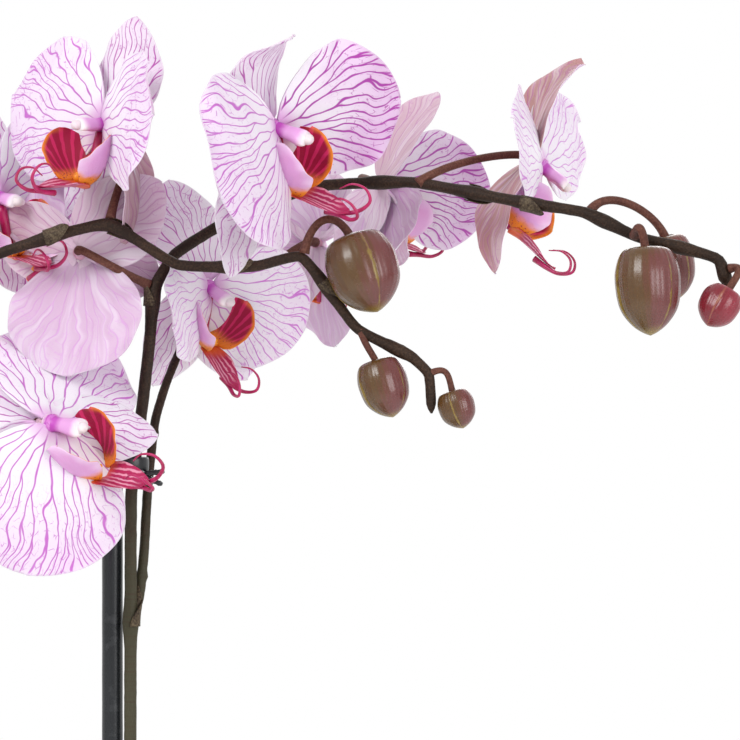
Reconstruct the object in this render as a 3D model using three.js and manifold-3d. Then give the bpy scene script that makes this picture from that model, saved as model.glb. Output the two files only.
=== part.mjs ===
// A potted moth orchid: two flower spikes held over a glazed pot of bark.
// Millimetres, +Z up. The origin is the centre of the pot's flat base, and -Y is the front.
import * as THREE from "three";
import { mergeVertices } from "three/addons/utils/BufferGeometryUtils.js";
import Module from "manifold-3d";

const wasm = await Module();
wasm.setup();

const GAP = 0.35;
const ROOM_GAP = 0.45;

// Pot and bark
const POT_HEIGHT = 125;
const POT_FOOT_RADIUS = 56;
const POT_RIM_RADIUS = 72;
const POT_WALL = 5;
const POT_FLOOR = 10;
const POT_SIDES = 24;
const BARK_TOP = 114;
const BARK_SHOULDER = 108;

// Crown, leaves and aerial roots
const CROWN_RADIUS = 6.5;
const CROWN_X = 15.5;
const CROWN_Y = -6;
const CROWN_BOTTOM = 96;
const CROWN_TOP = 150;
const LEAF_THICKNESS = 2.6;
const ROOT_RADIUS = 2.6;

// Stake and clip
const STAKE_RADIUS = 3.5;
const STAKE_X = -2.9;
const STAKE_Y = 4;
const STAKE_BOTTOM = 18;
const STAKE_TOP = 503;
const CLIP_HEIGHT = 5;
const CLIP_Z = 489;
const CLIP_STEM_X = 4.6;
const CLIP_STEM_Y = 0;
const CLIP_LENGTH = 22;
const CLIP_WIDTH = 17.2;
const CLIP_TURN = -32;
const CLIP_PLAY = 0.8;
const LEVER = { length: 9, width: 2, height: 3.4, forward: 3.4, upper: 6, lower: -24 };

// Stems
const MAIN_RADIUS = 2.4;
const SECOND_RADIUS = 2.1;
const BRANCH_RADIUS = 1.5;
const PEDICEL_RADIUS = 1.6;

// Flowers, at a size factor of 1
const TEPAL_THICKNESS = 1.1;
const TEPAL_ROOT = 0.8;
const TEPAL_HOLLOW = 1.5;
const PETAL = { length: 46, width: 54, lean: 0, bend: 12, claw: 0.16, fullest: 1.12, fullness: 0.58 };
const DORSAL = { length: 43, width: 27, lean: -6, bend: -8, claw: 0.26, fullest: 0.92, fullness: 0.72 };
const LATERAL = { length: 41, width: 26, lean: -6, bend: -10, claw: 0.28, fullest: 0.85, fullness: 0.72 };
const PETAL_DEPTH = 1;
const SEPAL_DEPTH = -2.6;
const STALK_END = -4;
const STALK_REACH = 20;
const STALK_RISE = 12;
const COLUMN_LENGTH = 13;
const COLUMN_ROOT = 2.9;
const CLAW_RADIUS = 1.7;
const LOBE = {
  length: 19, width: 18, thickness: 1.4, lean: -26, bend: 62, hollow: -2, claw: 0.42, fullest: 1.05,
  fullness: 0.62,
};
const LOBE_SEAT = 2.2;
const LIP = { foot: 20, spread: 32, cup: -18, dip: 0 };
const TONGUE = {
  length: 21, width: 11, thickness: 1.8, lean: 6, bend: 16, hollow: -1, claw: 0.4, fullest: 0.66,
  fullness: 0.9,
};
const TONGUE_DIP = 84;
const TENDRIL_RADIUS = 0.8;

const degrees = (angle) => (angle * Math.PI) / 180;
const point = ([x, y, z]) => new THREE.Vector3(x, y, z);

// ---------------------------------------------------------------- finishes

const finish = (color, roughness, metalness = 0) => ({ color, roughness, metalness });
const GLAZE = finish(0xe9e6df, 0.25);
const BARK = finish(0x5a3a25, 0.95);
const LEAF_GREEN = finish(0x3e6b2c, 0.42);
const CROWN_GREEN = finish(0x6d7f45, 0.6);
const ROOT_SILVER = finish(0x9aa58c, 0.85);
const STAKE_BLACK = finish(0x23272c, 0.35);
const CLIP_BLACK = finish(0x17181a, 0.5);
const STEM_BROWN = finish(0x3f372d, 0.55);
const SEPAL_PINK = finish(0xd9b3c0, 0.6);
const PETAL_LILAC = finish(0xe7cfe9, 0.6);
const COLUMN_PINK = finish(0xc85cc8, 0.5);
const LIP_CRIMSON = finish(0xa5104a, 0.5);
const BUD_BROWN = finish(0x7a5540, 0.4);
const BUD_CRIMSON = finish(0x9e2740, 0.4);

// ---------------------------------------------------------------- solids

function solidOf(geometry) {
  const bare = geometry.clone();
  bare.deleteAttribute("normal");
  bare.deleteAttribute("uv");
  const merged = mergeVertices(bare, 1e-4);
  const vertProperties = new Float32Array(merged.attributes.position.array);
  const triVerts = new Uint32Array(merged.index.array);
  return new wasm.Manifold(new wasm.Mesh({ numProp: 3, vertProperties, triVerts }));
}

function geometryOf(solid) {
  const mesh = solid.getMesh();
  const geometry = new THREE.BufferGeometry();
  geometry.setAttribute("position", new THREE.BufferAttribute(new Float32Array(mesh.vertProperties), 3));
  geometry.setIndex(new THREE.BufferAttribute(new Uint32Array(mesh.triVerts), 1));
  geometry.computeVertexNormals();
  return geometry;
}

function join(...geometries) {
  return geometryOf(geometries.map(solidOf).reduce((whole, next) => whole.add(next)));
}

function cut(geometry, ...tools) {
  return geometryOf(tools.map(solidOf).reduce((whole, tool) => whole.subtract(tool), solidOf(geometry)));
}

function named(name, geometry, look) {
  const mesh = new THREE.Mesh(geometry, new THREE.MeshStandardMaterial(look));
  mesh.name = name;
  return mesh;
}

// ---------------------------------------------------------------- shared shapes

// A round bar along a curve, with flat ends.
function tube(curve, radius, steps, sides = 8) {
  const section = new THREE.Shape();
  for (let side = 0; side < sides; side += 1) {
    const angle = (side / sides) * 2 * Math.PI;
    const corner = [radius * Math.cos(angle), radius * Math.sin(angle)];
    if (side === 0) section.moveTo(...corner);
    else section.lineTo(...corner);
  }
  section.closePath();
  return new THREE.ExtrudeGeometry(section, { steps, extrudePath: curve, curveSegments: 1 });
}

const smoothRoute = (places) => new THREE.CatmullRomCurve3(places.map(point), false, "centripetal");

// A thin blade that grows along +Y from the origin and faces +Z. It leans by `lean` degrees towards
// +Z at its root, bends by `bend` more to its tip, and its sides fall back by `hollow`. `spare` makes
// it that much larger all round.
function blade({ length, width, thickness, lean = 0, bend = 0.1, hollow = 0, claw = 0.2, fullest = 1,
  fullness = 0.7, columns = 4, rows = 4, spare = 0 }) {
  const geometry = new THREE.BoxGeometry(2, 1, thickness + 2 * spare, columns, rows, 1);
  const places = geometry.attributes.position;
  const start = degrees(lean);
  const turn = degrees(bend);
  const more = spare / length;
  for (let index = 0; index < places.count; index += 1) {
    const along = (places.getY(index) + 0.5) * (1 + 2 * more) - more;
    const swell = Math.sin(Math.PI * Math.min(Math.max(along, 0), 1) ** fullest);
    const halfWidth = (width / 2) * (claw + (1 - claw) * Math.max(swell, 0) ** fullness);
    const side = places.getX(index) * (halfWidth + spare);
    const slope = start + turn * along;
    const run = (length * (Math.sin(slope) - Math.sin(start))) / turn;
    const rise = (length * (Math.cos(start) - Math.cos(slope))) / turn;
    const lift = places.getZ(index) - hollow * (side / halfWidth) ** 2 * along;
    places.setXYZ(index, side, run - lift * Math.sin(slope), rise + lift * Math.cos(slope));
  }
  return geometry;
}

// A lathe whose axis is +Z, from pairs of radius and height.
function turned(profile, sides) {
  const outline = profile.map(([radius, height]) => new THREE.Vector2(radius, height));
  const geometry = new THREE.LatheGeometry(outline, sides);
  geometry.rotateX(Math.PI / 2);
  return geometry;
}

// ---------------------------------------------------------------- pot, bark and stake

function makePot() {
  const wallAt = (radius) => radius - POT_WALL;
  return turned([
    [0, 0],
    [POT_FOOT_RADIUS, 0],
    [POT_FOOT_RADIUS + 3, 4],
    [POT_RIM_RADIUS - 2, POT_HEIGHT - 14],
    [POT_RIM_RADIUS, POT_HEIGHT - 10],
    [POT_RIM_RADIUS, POT_HEIGHT - 2],
    [POT_RIM_RADIUS - 2, POT_HEIGHT],
    [wallAt(POT_RIM_RADIUS), POT_HEIGHT],
    [wallAt(POT_RIM_RADIUS - 2), POT_HEIGHT - 14],
    [wallAt(POT_FOOT_RADIUS + 2), POT_FLOOR + 3],
    [wallAt(POT_FOOT_RADIUS), POT_FLOOR],
    [0, POT_FLOOR],
  ], POT_SIDES);
}

function makeBark() {
  const low = POT_FOOT_RADIUS - POT_WALL - 1;
  const high = POT_RIM_RADIUS - POT_WALL - 3;
  const bed = turned([
    [0, POT_FLOOR + GAP],
    [low - 3, POT_FLOOR + GAP],
    [low, POT_FLOOR + 5],
    [high, BARK_SHOULDER],
    [high - 8, BARK_TOP - 2],
    [0, BARK_TOP],
  ], POT_SIDES);
  const stakeHole = new THREE.CylinderGeometry(STAKE_RADIUS + GAP, STAKE_RADIUS + GAP, POT_HEIGHT, 12);
  stakeHole.rotateX(Math.PI / 2);
  stakeHole.translate(STAKE_X, STAKE_Y, STAKE_BOTTOM - GAP + POT_HEIGHT / 2);
  const crownHole = new THREE.CylinderGeometry(CROWN_RADIUS + GAP, CROWN_RADIUS + GAP, POT_HEIGHT, 12);
  crownHole.rotateX(Math.PI / 2);
  crownHole.translate(CROWN_X, CROWN_Y, CROWN_BOTTOM - GAP + POT_HEIGHT / 2);
  return cut(bed, stakeHole, crownHole);
}

function makeStake() {
  const length = STAKE_TOP - STAKE_BOTTOM;
  const stake = turned([
    [0, 0],
    [STAKE_RADIUS, 0],
    [STAKE_RADIUS, length - 2],
    [STAKE_RADIUS - 1.5, length],
    [0, length],
  ], 12);
  stake.translate(STAKE_X, STAKE_Y, STAKE_BOTTOM);
  return stake;
}

// A spring clip that holds the main spike to the stake: one body round both, with two finger levers.
function makeClip() {
  const body = new THREE.Shape();
  const middleX = (STAKE_X + CLIP_STEM_X) / 2 - 0.6;
  const middleY = (STAKE_Y + CLIP_STEM_Y) / 2;
  const turn = degrees(CLIP_TURN);
  body.absellipse(middleX, middleY, CLIP_LENGTH / 2, CLIP_WIDTH / 2, 0, 2 * Math.PI, false, turn);
  const stakeHole = new THREE.Path();
  stakeHole.absarc(STAKE_X, STAKE_Y, STAKE_RADIUS + GAP, 0, 2 * Math.PI, true);
  const stemHole = new THREE.Path();
  stemHole.absarc(CLIP_STEM_X, CLIP_STEM_Y, MAIN_RADIUS + CLIP_PLAY, 0, 2 * Math.PI, true);
  body.holes.push(stakeHole, stemHole);
  const shape = { depth: CLIP_HEIGHT, bevelEnabled: false, curveSegments: 8 };
  const ring = new THREE.ExtrudeGeometry(body, shape);
  ring.translate(0, 0, CLIP_Z);
  const lever = (tilt) => {
    const bar = new THREE.BoxGeometry(LEVER.length, LEVER.width, LEVER.height);
    bar.translate(LEVER.length / 2 + 2, 0, 0);
    bar.rotateY(degrees(-tilt));
    bar.translate(CLIP_STEM_X + 2, CLIP_STEM_Y - LEVER.forward, CLIP_Z + CLIP_HEIGHT / 2);
    return bar;
  };
  return join(ring, lever(LEVER.upper), lever(LEVER.lower));
}

// ---------------------------------------------------------------- crown, leaves and roots

const makeCrown = () => turned([
  [0, CROWN_BOTTOM],
  [CROWN_RADIUS - 2, CROWN_BOTTOM],
  [CROWN_RADIUS, CROWN_BOTTOM + 8],
  [CROWN_RADIUS, CROWN_TOP - 12],
  [CROWN_RADIUS - 4, CROWN_TOP],
  [0, CROWN_TOP],
], 12).translate(CROWN_X, CROWN_Y, 0);

const LEAVES = [
  { toward: 245, length: 200, width: 64, lean: 36, bend: -60, height: 121 },
  { toward: 62, length: 210, width: 66, lean: 38, bend: -64, height: 126 },
  { toward: 256, length: 168, width: 60, lean: 55, bend: -58, height: 131 },
  { toward: 74, length: 175, width: 58, lean: 57, bend: -60, height: 137 },
  { toward: 264, length: 92, width: 34, lean: 74, bend: -28, height: 142 },
];

function makeLeaf({ toward, length, width, lean, bend, height }) {
  const leaf = blade({ length, width, lean, bend, thickness: LEAF_THICKNESS, hollow: -7, claw: 0.2,
    fullest: 1.15, fullness: 0.55, columns: 4, rows: 7 });
  leaf.translate(0, CROWN_RADIUS + 1.5, 0);
  leaf.rotateZ(degrees(toward - 90));
  return leaf.translate(CROWN_X, CROWN_Y, height);
}

const ROOTS = [
  { toward: 8, drop: 62, sway: 10 },
  { toward: 118, drop: 84, sway: -12 },
  { toward: 304, drop: 70, sway: 14 },
];

function rimDistance(angle) {
  const along = CROWN_X * Math.cos(angle) + CROWN_Y * Math.sin(angle);
  return Math.sqrt(along ** 2 - CROWN_X ** 2 - CROWN_Y ** 2 + POT_RIM_RADIUS ** 2) - along;
}

// An aerial root that leaves the crown, humps over the pot's rim and hangs down outside it.
function makeRoot({ toward, drop, sway }) {
  const angle = degrees(toward);
  const rim = rimDistance(angle);
  const place = (distance, height, side) => {
    const x = CROWN_X + distance * Math.cos(angle) - side * Math.sin(angle);
    const y = CROWN_Y + distance * Math.sin(angle) + side * Math.cos(angle);
    return [x, y, height];
  };
  const route = smoothRoute([
    place(CROWN_RADIUS + ROOT_RADIUS + 1, BARK_TOP + 5, 0),
    place(rim * 0.45, POT_HEIGHT + 10, sway * 0.5),
    place(rim - 2, POT_HEIGHT + 8, sway),
    place(rim + 10, POT_HEIGHT - 6, sway * 0.7),
    place(rim + 12, POT_HEIGHT - drop * 0.55, 0),
    place(rim + 8, POT_HEIGHT - drop, -sway * 0.4),
  ]);
  return tube(route, ROOT_RADIUS, 14, 6);
}

// ---------------------------------------------------------------- spikes

// Each route runs from the crown to the growing tip, through its nodes.
const MAIN_ROUTE = [
  [5.5, -1, 121], [4.2, -0.5, 200], [3.6, 0, 300], [3.4, 0, 400], [3.5, 0, 447], [3.8, 0, 483],
  [7.6, 0, 513], [9.8, 1, 533], [11.5, 2, 551], [18, 5, 562], [35, 8, 573], [64, 12, 585],
  [97, 2, 586], [116, -10, 582], [134, -19, 578], [153, -25, 574.5], [170, -28, 566.5],
  [196, -30, 559], [199, -31, 550],
];
const SECOND_ROUTE = [
  [3.5, -9, 121], [-16, -13, 200], [-46, -16, 290], [-72, -17, 380], [-86, -17, 450],
  [-88, -16, 500], [-76, -15, 540], [-40, -14, 561], [-3, -14, 571], [20, -14, 558], [46, -14, 557.5],
  [60.5, -14, 560.5], [79, -15, 537], [97, -16, 527.5], [102.5, -16, 522], [103.5, -16, 509],
];
const BRANCH_ROUTE = [
  [6.4, 3, 449], [7.6, 4.6, 462], [8.8, 7, 485], [11, 12, 507], [14.5, 20, 520], [20, 34, 534],
  [30, 50.5, 543],
];

const makeSpike = (route, radius, steps) => tube(smoothRoute(route), radius, steps, 7);

// ---------------------------------------------------------------- flowers

// `centre` is where the tepals meet. `facing` turns the flower from the front towards +X, `lift` tips
// it up, and `roll` leans its top towards its own left. `from` is where its stalk leaves the spike, in
// the direction `leave`, and `reach` is how far behind the flower it turns in. `lip` changes the form
// in LIP. Each blade `grows` one way and `faces` another, as directions of the whole plant, and `bend`
// curls it towards its face or, below zero, back from it.
const FLOWERS = [
  {
    centre: [-4.2, -13, 604], facing: -42, lift: -3, roll: -9, size: 1,
    from: [-2, -12, 574.5], leave: [0.1, 0.5, 1],
    lip: { spread: 36 },
    petals: [
      { grows: [-0.76, 0.52, 0.28], faces: [-0.58, -0.8, 0.1], bend: -16, width: 50 },
      { grows: [0.24, -0.96, 0.02], faces: [-0.92, -0.3, 0.1], bend: -26, width: 46, length: 42 },
    ],
    dorsal: { grows: [0.26, -0.1, 0.94], faces: [-0.62, -0.76, 0.1], bend: 14, length: 36, width: 30 },
    laterals: [
      { grows: [-0.28, 0.28, -0.92], faces: [-0.35, -0.9, -0.15], bend: -4, length: 46 },
      { grows: [0.5, -0.06, -0.84], faces: [-0.78, 0.4, -0.42], bend: 66, length: 41, width: 24 },
    ],
  },
  {
    centre: [52.1, -24, 602.1], facing: 66, lift: -18, roll: 26, size: 1.05,
    from: [59.5, 9.8, 587.3], leave: [-0.2, 0.2, 1],
    lip: { spread: 22, cup: -14 },
    petals: [
      { grows: [-0.04, -0.9, -0.42], faces: [0.93, -0.18, 0.32], bend: -40, width: 59, length: 44 },
      { grows: [0.88, 0.38, 0.26], faces: [0.3, -0.8, -0.45], bend: 6, width: 46, length: 42 },
    ],
    dorsal: { grows: [-0.4, -0.05, 0.91], faces: [0.8, -0.52, 0.2], bend: 104, length: 34, width: 32 },
    laterals: [
      { grows: [-0.1, -0.1, -1], faces: [0.75, -0.6, -0.05], bend: -8, length: 48 },
      { grows: [0.25, 0.55, -0.8], faces: [0.7, -0.5, -0.4], length: 34 },
    ],
  },
  {
    centre: [89.3, 47, 587.5], facing: 138, lift: -6, roll: 15, size: 0.98,
    from: [84, 11.5, 586.5], leave: [-0.2, 1, 0.3],
    petals: [
      { grows: [-0.04, -0.62, -0.8], faces: [0.72, 0.62, -0.28], bend: 8, width: 40, length: 33 },
      { grows: [0.8, 0.55, -0.02], faces: [0.55, -0.8, 0.05], bend: 10, width: 44, length: 42 },
    ],
    dorsal: { grows: [0.4, -0.15, 0.9], faces: [0.8, 0.5, -0.3], bend: 30, length: 38 },
    laterals: [
      { grows: [-0.34, 0.22, -0.92], faces: [0.75, 0.6, -0.14], length: 32 },
      { grows: [0.32, 0.55, -0.76], faces: [0.7, 0.6, -0.2], length: 32 },
    ],
  },
  {
    centre: [141.4, 20, 592.7], facing: 76, lift: -40, roll: -14, size: 0.95,
    from: [102, -0.5, 588.8], leave: [0.8, 0.2, 0.62], reach: 9,
    lip: { foot: 25, spread: 26 },
    petals: [
      { grows: [-0.16, -0.92, 0.34], faces: [0.93, -0.25, 0.12], bend: -14, width: 42, length: 42 },
      { grows: [0.36, 0.84, 0.4], faces: [0.82, -0.54, 0.1], bend: -4, width: 42 },
    ],
    dorsal: { grows: [-0.04, 0.04, 0.98], faces: [0.84, 0.46, 0.1], bend: 74, length: 45 },
    laterals: [
      { grows: [-0.66, -0.35, -0.66], faces: [0.8, 0.3, -0.55], bend: 62, length: 46, width: 30 },
      { grows: [0.1, 0.75, -0.65], faces: [0.9, -0.35, -0.2], length: 34 },
    ],
  },
  {
    centre: [27.8, 30, 551.5], facing: 48, lift: -26, roll: 4, size: 0.95,
    from: [15, 8, 555], leave: [-0.1, 1, -0.2],
    lip: { spread: 34, dip: 18 },
    petals: [
      { grows: [-0.3, -0.88, -0.36], faces: [0.97, -0.2, 0.1], bend: 4, width: 38, length: 40 },
      { grows: [0.8, 0.5, -0.3], faces: [0.42, -0.88, -0.18], bend: -4, width: 46, length: 43 },
    ],
    dorsal: { grows: [-0.26, 0.2, 0.94], faces: [0.25, -0.94, 0.2], width: 30 },
    laterals: [
      { grows: [-0.35, 0, -0.93], faces: [0.45, -0.8, -0.2] },
      { grows: [0.42, 0.25, -0.86], faces: [0.2, -0.95, -0.1], width: 28 },
    ],
  },
  {
    centre: [64.7, 75, 568], facing: 168, lift: -10, roll: 0, size: 0.95,
    from: [32, 53, 545], leave: [0.5, 0.6, 0.5],
    petals: [
      { grows: [0.08, -0.1, -0.95], faces: [0.88, 0.4, 0.05], bend: 12, width: 48, length: 38 },
      { grows: [-0.6, 0.2, 0.75], faces: [0.3, 0.92, 0.1], width: 44, length: 40 },
    ],
    dorsal: { grows: [0.1, 0.6, 0.7], faces: [0.2, 0.85, -0.1], length: 34 },
    laterals: [
      { grows: [-0.35, 0, -0.93], faces: [0.6, 0.8, -0.1], length: 34 },
      { grows: [0.25, 0.6, 0.6], faces: [0.45, 0.85, 0.1], length: 30 },
    ],
  },
  {
    centre: [-12.9, 2, 561.4], facing: 172, lift: -18, roll: 74, size: 1,
    from: [8, 0.2, 552.4], leave: [-0.9, -0.5, 0.4], reach: 12,
    petals: [
      { grows: [-0.04, -0.5, -0.86], faces: [0.15, 0.86, -0.5], bend: 6, width: 46, length: 44 },
      { grows: [-0.3, 0.4, 0.86], faces: [0.2, 0.95, 0.1], width: 44, length: 38 },
    ],
    dorsal: { grows: [-0.75, 0.6, 0.25], faces: [0.4, 0.8, 0.1], length: 36 },
    laterals: [
      { grows: [0.8, 0.45, -0.3], faces: [0.3, 0.85, -0.2], length: 28 },
      { grows: [0.74, 0, 0.6], faces: [0.2, 0.95, 0.1], length: 36, width: 30 },
    ],
  },
  {
    centre: [-19.4, -32, 505.9], facing: 54, lift: -4, roll: 40, size: 1.06,
    from: [3.4, -3.4, 497], leave: [-0.1, -1, 0.1],
    lip: { spread: 30, cup: -20 },
    petals: [
      { grows: [-0.1, -0.3, -0.94], faces: [0.36, -0.9, 0.26], bend: -22, width: 57 },
      { grows: [0.06, 0.74, 0.66], faces: [0.35, -0.7, 0.6], bend: -8, width: 50 },
    ],
    dorsal: { grows: [-0.82, 0.4, 0.42], faces: [0.3, -0.92, 0.2] },
    laterals: [
      { grows: [-0.5, 0.3, -0.8], faces: [0.3, -0.92, 0.1] },
      { grows: [0.93, 0.3, 0], faces: [0.25, -0.8, 0.5], length: 37, width: 24 },
    ],
  },
  {
    centre: [-42.1, 12, 581.3], facing: 40, lift: -8, roll: 12, size: 0.98,
    from: [-62, -11.2, 548.8], leave: [0.1, 1, -0.3],
    petals: [
      { grows: [-0.55, -0.6, -0.25], faces: [0.7, -0.7, 0.05], bend: -20, width: 48 },
      { grows: [0.6, 0.65, 0.35], faces: [0.62, -0.78, 0.05], width: 48 },
    ],
    dorsal: { grows: [-0.15, 0.2, 0.96], faces: [0.55, -0.8, 0.2] },
    laterals: [
      { grows: [-0.5, -0.1, -0.85], faces: [0.6, -0.75, -0.2] },
      { grows: [0.35, 0.45, -0.8], faces: [0.6, -0.78, -0.1] },
    ],
  },
];

function forwardOf({ facing, lift }) {
  const turn = degrees(facing);
  const tip = degrees(lift);
  return new THREE.Vector3(Math.sin(turn) * Math.cos(tip), -Math.cos(turn) * Math.cos(tip), Math.sin(tip));
}

// The frame of a flower's hub, column and lip: +Z forward, +Y up.
function flowerFrame(flower) {
  const forward = forwardOf(flower);
  const right = new THREE.Vector3(0, 0, 1).cross(forward).normalize();
  const frame = new THREE.Matrix4().makeBasis(right, forward.clone().cross(right), forward);
  frame.multiply(new THREE.Matrix4().makeRotationZ(degrees(flower.roll)));
  frame.scale(new THREE.Vector3(flower.size, flower.size, flower.size));
  return frame.setPosition(...flower.centre);
}

// One petal or sepal where its flower holds it. `spare` makes it that much larger all round.
function heldBlade({ grows, faces, ...form }, flower, depth, spare) {
  const ahead = point(grows).normalize();
  const side = ahead.clone().cross(point(faces)).normalize();
  const seat = new THREE.Matrix4().makeBasis(side, ahead, side.clone().cross(ahead));
  seat.scale(new THREE.Vector3(flower.size, flower.size, flower.size));
  seat.setPosition(point(flower.centre).addScaledVector(forwardOf(flower), depth * flower.size));
  const sheet = blade({ ...form, thickness: TEPAL_THICKNESS, hollow: TEPAL_HOLLOW, spare });
  return sheet.translate(0, TEPAL_ROOT, 0).applyMatrix4(seat);
}

// The stalk and the hub at its end, which the sepals grow from.
function makeStalk(flower, spare) {
  const start = point(flower.from);
  const behind = (depth) => point(flower.centre).addScaledVector(forwardOf(flower), depth * flower.size);
  const route = new THREE.CubicBezierCurve3(
    start,
    start.clone().addScaledVector(point(flower.leave).normalize(), STALK_RISE),
    behind(-(flower.reach ?? STALK_REACH)),
    behind(STALK_END),
  );
  const hub = turned([
    [0, -6.5 - spare],
    [1.9 + spare, -6.3],
    [3.6 + spare, -3.6],
    [2.6 + spare, -0.9],
    [0, -0.9 + spare],
  ], 6).applyMatrix4(flowerFrame(flower));
  return join(hub, tube(route, PEDICEL_RADIUS + spare, 10, 6));
}

// The three sepals.
function makeSepals(flower, spare) {
  const laterals = flower.laterals.map((form) => ({ ...LATERAL, ...form }));
  const forms = [{ ...DORSAL, ...flower.dorsal }, ...laterals];
  const sepals = forms.map((form) => (
    heldBlade({ ...form, columns: 2, rows: 4 }, flower, SEPAL_DEPTH, spare)));
  return join(...sepals);
}

// Both petals, grown from one small ring in front of the sepals.
function makePetals(flower, spare) {
  const ring = turned([
    [0, -spare],
    [3 + spare, 0.1 - spare],
    [2.8 + spare, 2.4 + spare],
    [0, 2.4 + spare],
  ], 6).applyMatrix4(flowerFrame(flower));
  const petals = flower.petals.map((form) => (
    heldBlade({ ...PETAL, ...form, columns: 4, rows: 5 }, flower, PETAL_DEPTH, spare)));
  return join(ring, ...petals);
}

function makeColumn(flower, spare) {
  return turned([
    [0, COLUMN_ROOT - spare],
    [2.3 + spare, COLUMN_ROOT - spare],
    [1.9 + spare, COLUMN_ROOT + 3.5],
    [2.5 + spare, COLUMN_ROOT + COLUMN_LENGTH * 0.7],
    [2.4 + spare, COLUMN_ROOT + COLUMN_LENGTH * 0.92],
    [0, COLUMN_ROOT + COLUMN_LENGTH + spare],
  ], 6).applyMatrix4(flowerFrame(flower));
}

// The lip: a claw, two upright side lobes, a pointed middle lobe and the two curled tendrils at its tip.
function makeLip(flower, spare) {
  const { foot, spread, cup, dip } = { ...LIP, ...flower.lip };
  const claw = tube(
    smoothRoute([[0, spare - 4, 2.6 - spare], [0, -9, 3.4], [0, -15, 4.6], [0, -foot, 7.5]]),
    CLAW_RADIUS + spare, 4, 6,
  );
  const middle = (piece) => piece.rotateX(degrees(dip)).translate(0, -foot, 6.5);
  const tongue = blade({ ...TONGUE, columns: 2, rows: 4, spare });
  tongue.rotateX(degrees(TONGUE_DIP));
  tongue.rotateZ(Math.PI);
  const sideLobe = (side) => {
    const lobe = blade({ ...LOBE, columns: 2, rows: 4, spare });
    lobe.rotateY(degrees(side * (-90 - cup)));
    lobe.rotateZ(degrees(side * -spread));
    return lobe.translate(side * LOBE_SEAT, 0.8 - foot, 8.5);
  };
  const tendril = (side) => tube(smoothRoute([
    [side * 0.6, -2.2, 14.5],
    [side * 0.9, -1.8, 19.5],
    [side * 2.4, -1.0, 24.5],
    [side * 3.8, 2.2, 27.5],
    [side * 4.2, 5.6, 25.5],
    [side * 3.6, 6.2, 21],
  ]), TENDRIL_RADIUS + spare, 7, 4);
  return join(claw, middle(tongue), sideLobe(-1), sideLobe(1), middle(tendril(-1)), middle(tendril(1)))
    .applyMatrix4(flowerFrame(flower));
}

// ---------------------------------------------------------------- buds

// `heart` is a bud's middle and `tip` the way it points. `from` and `leave` place its stalk as above,
// and `over` is how far the stalk runs on behind the bud before it turns down into it.
const BUDS = [
  { heart: [81.3, -19, 555], tip: [0.35, -0.2, -1], length: 27, width: 22.5, from: [62, -14, 563.5],
    leave: [0.2, -0.1, 1], over: 13, look: BUD_BROWN },
  { heart: [88, -16, 517.5], tip: [0.3, -0.1, -1], length: 20, width: 15.5, from: [78.6, -15.9, 532.4],
    leave: [-0.3, -0.3, -1], over: 8, look: BUD_BROWN },
  { heart: [112, -17, 510.5], tip: [0.3, -0.1, -1], length: 13, width: 11.5, from: [105.6, -16, 524.5],
    leave: [1, 0, 0.5], over: 6, look: BUD_BROWN },
  { heart: [172.5, -38, 549], tip: [0.05, -0.1, -1], length: 29, width: 20, from: [169, -31.5, 567.5],
    leave: [0, -1, 0.4], over: 10, look: BUD_BROWN },
  { heart: [182.5, -12, 557.5], tip: [0.2, 0.1, -1], length: 22, width: 15, from: [156, -22, 576.5],
    leave: [0.6, 0.5, 1], over: 10, look: BUD_BROWN },
  { heart: [195, -39, 543.5], tip: [-0.6, -0.2, -1], length: 14, width: 12.5, from: [201, -33, 556.5],
    leave: [1, -0.6, 0.3], over: 5, look: BUD_CRIMSON },
];

function makeBud({ heart, tip, length, width, from, leave, over }, spare) {
  const down = point(tip).normalize();
  const body = turned([
    [0, -length * 0.5 - spare],
    [width * 0.2 + spare, -length * 0.47],
    [width * 0.42 + spare, -length * 0.26],
    [width * 0.5 + spare, 0],
    [width * 0.42 + spare, length * 0.26],
    [width * 0.2 + spare, length * 0.45],
    [0, length * 0.5 + spare],
  ], 8);
  body.applyQuaternion(new THREE.Quaternion().setFromUnitVectors(new THREE.Vector3(0, 0, 1), down));
  body.translate(...heart);
  const crown = point(heart).addScaledVector(down, -length * 0.42);
  const stalk = new THREE.CubicBezierCurve3(
    point(from),
    point(from).addScaledVector(point(leave).normalize(), over),
    crown.clone().addScaledVector(down, -over),
    crown,
  );
  return join(body, tube(stalk, PEDICEL_RADIUS + spare, 7, 5));
}

// ---------------------------------------------------------------- the plant

const orchid = new THREE.Group();
orchid.add(
  named("pot", makePot(), GLAZE),
  named("bark", makeBark(), BARK),
  named("stake", makeStake(), STAKE_BLACK),
  named("clip", makeClip(), CLIP_BLACK),
  named("crown", makeCrown(), CROWN_GREEN),
  named("main_spike", makeSpike(MAIN_ROUTE, MAIN_RADIUS, 40), STEM_BROWN),
  named("second_spike", makeSpike(SECOND_ROUTE, SECOND_RADIUS, 40), STEM_BROWN),
  named("side_branch", makeSpike(BRANCH_ROUTE, BRANCH_RADIUS, 12), STEM_BROWN),
);
LEAVES.forEach((leaf, index) => orchid.add(named(`leaf_${index + 1}`, makeLeaf(leaf), LEAF_GREEN)));
ROOTS.forEach((root, index) => orchid.add(named(`root_${index + 1}`, makeRoot(root), ROOT_SILVER)));
BUDS.forEach((bud, index) => orchid.add(named(`bud_${index + 1}`, makeBud(bud, 0), bud.look)));

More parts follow.
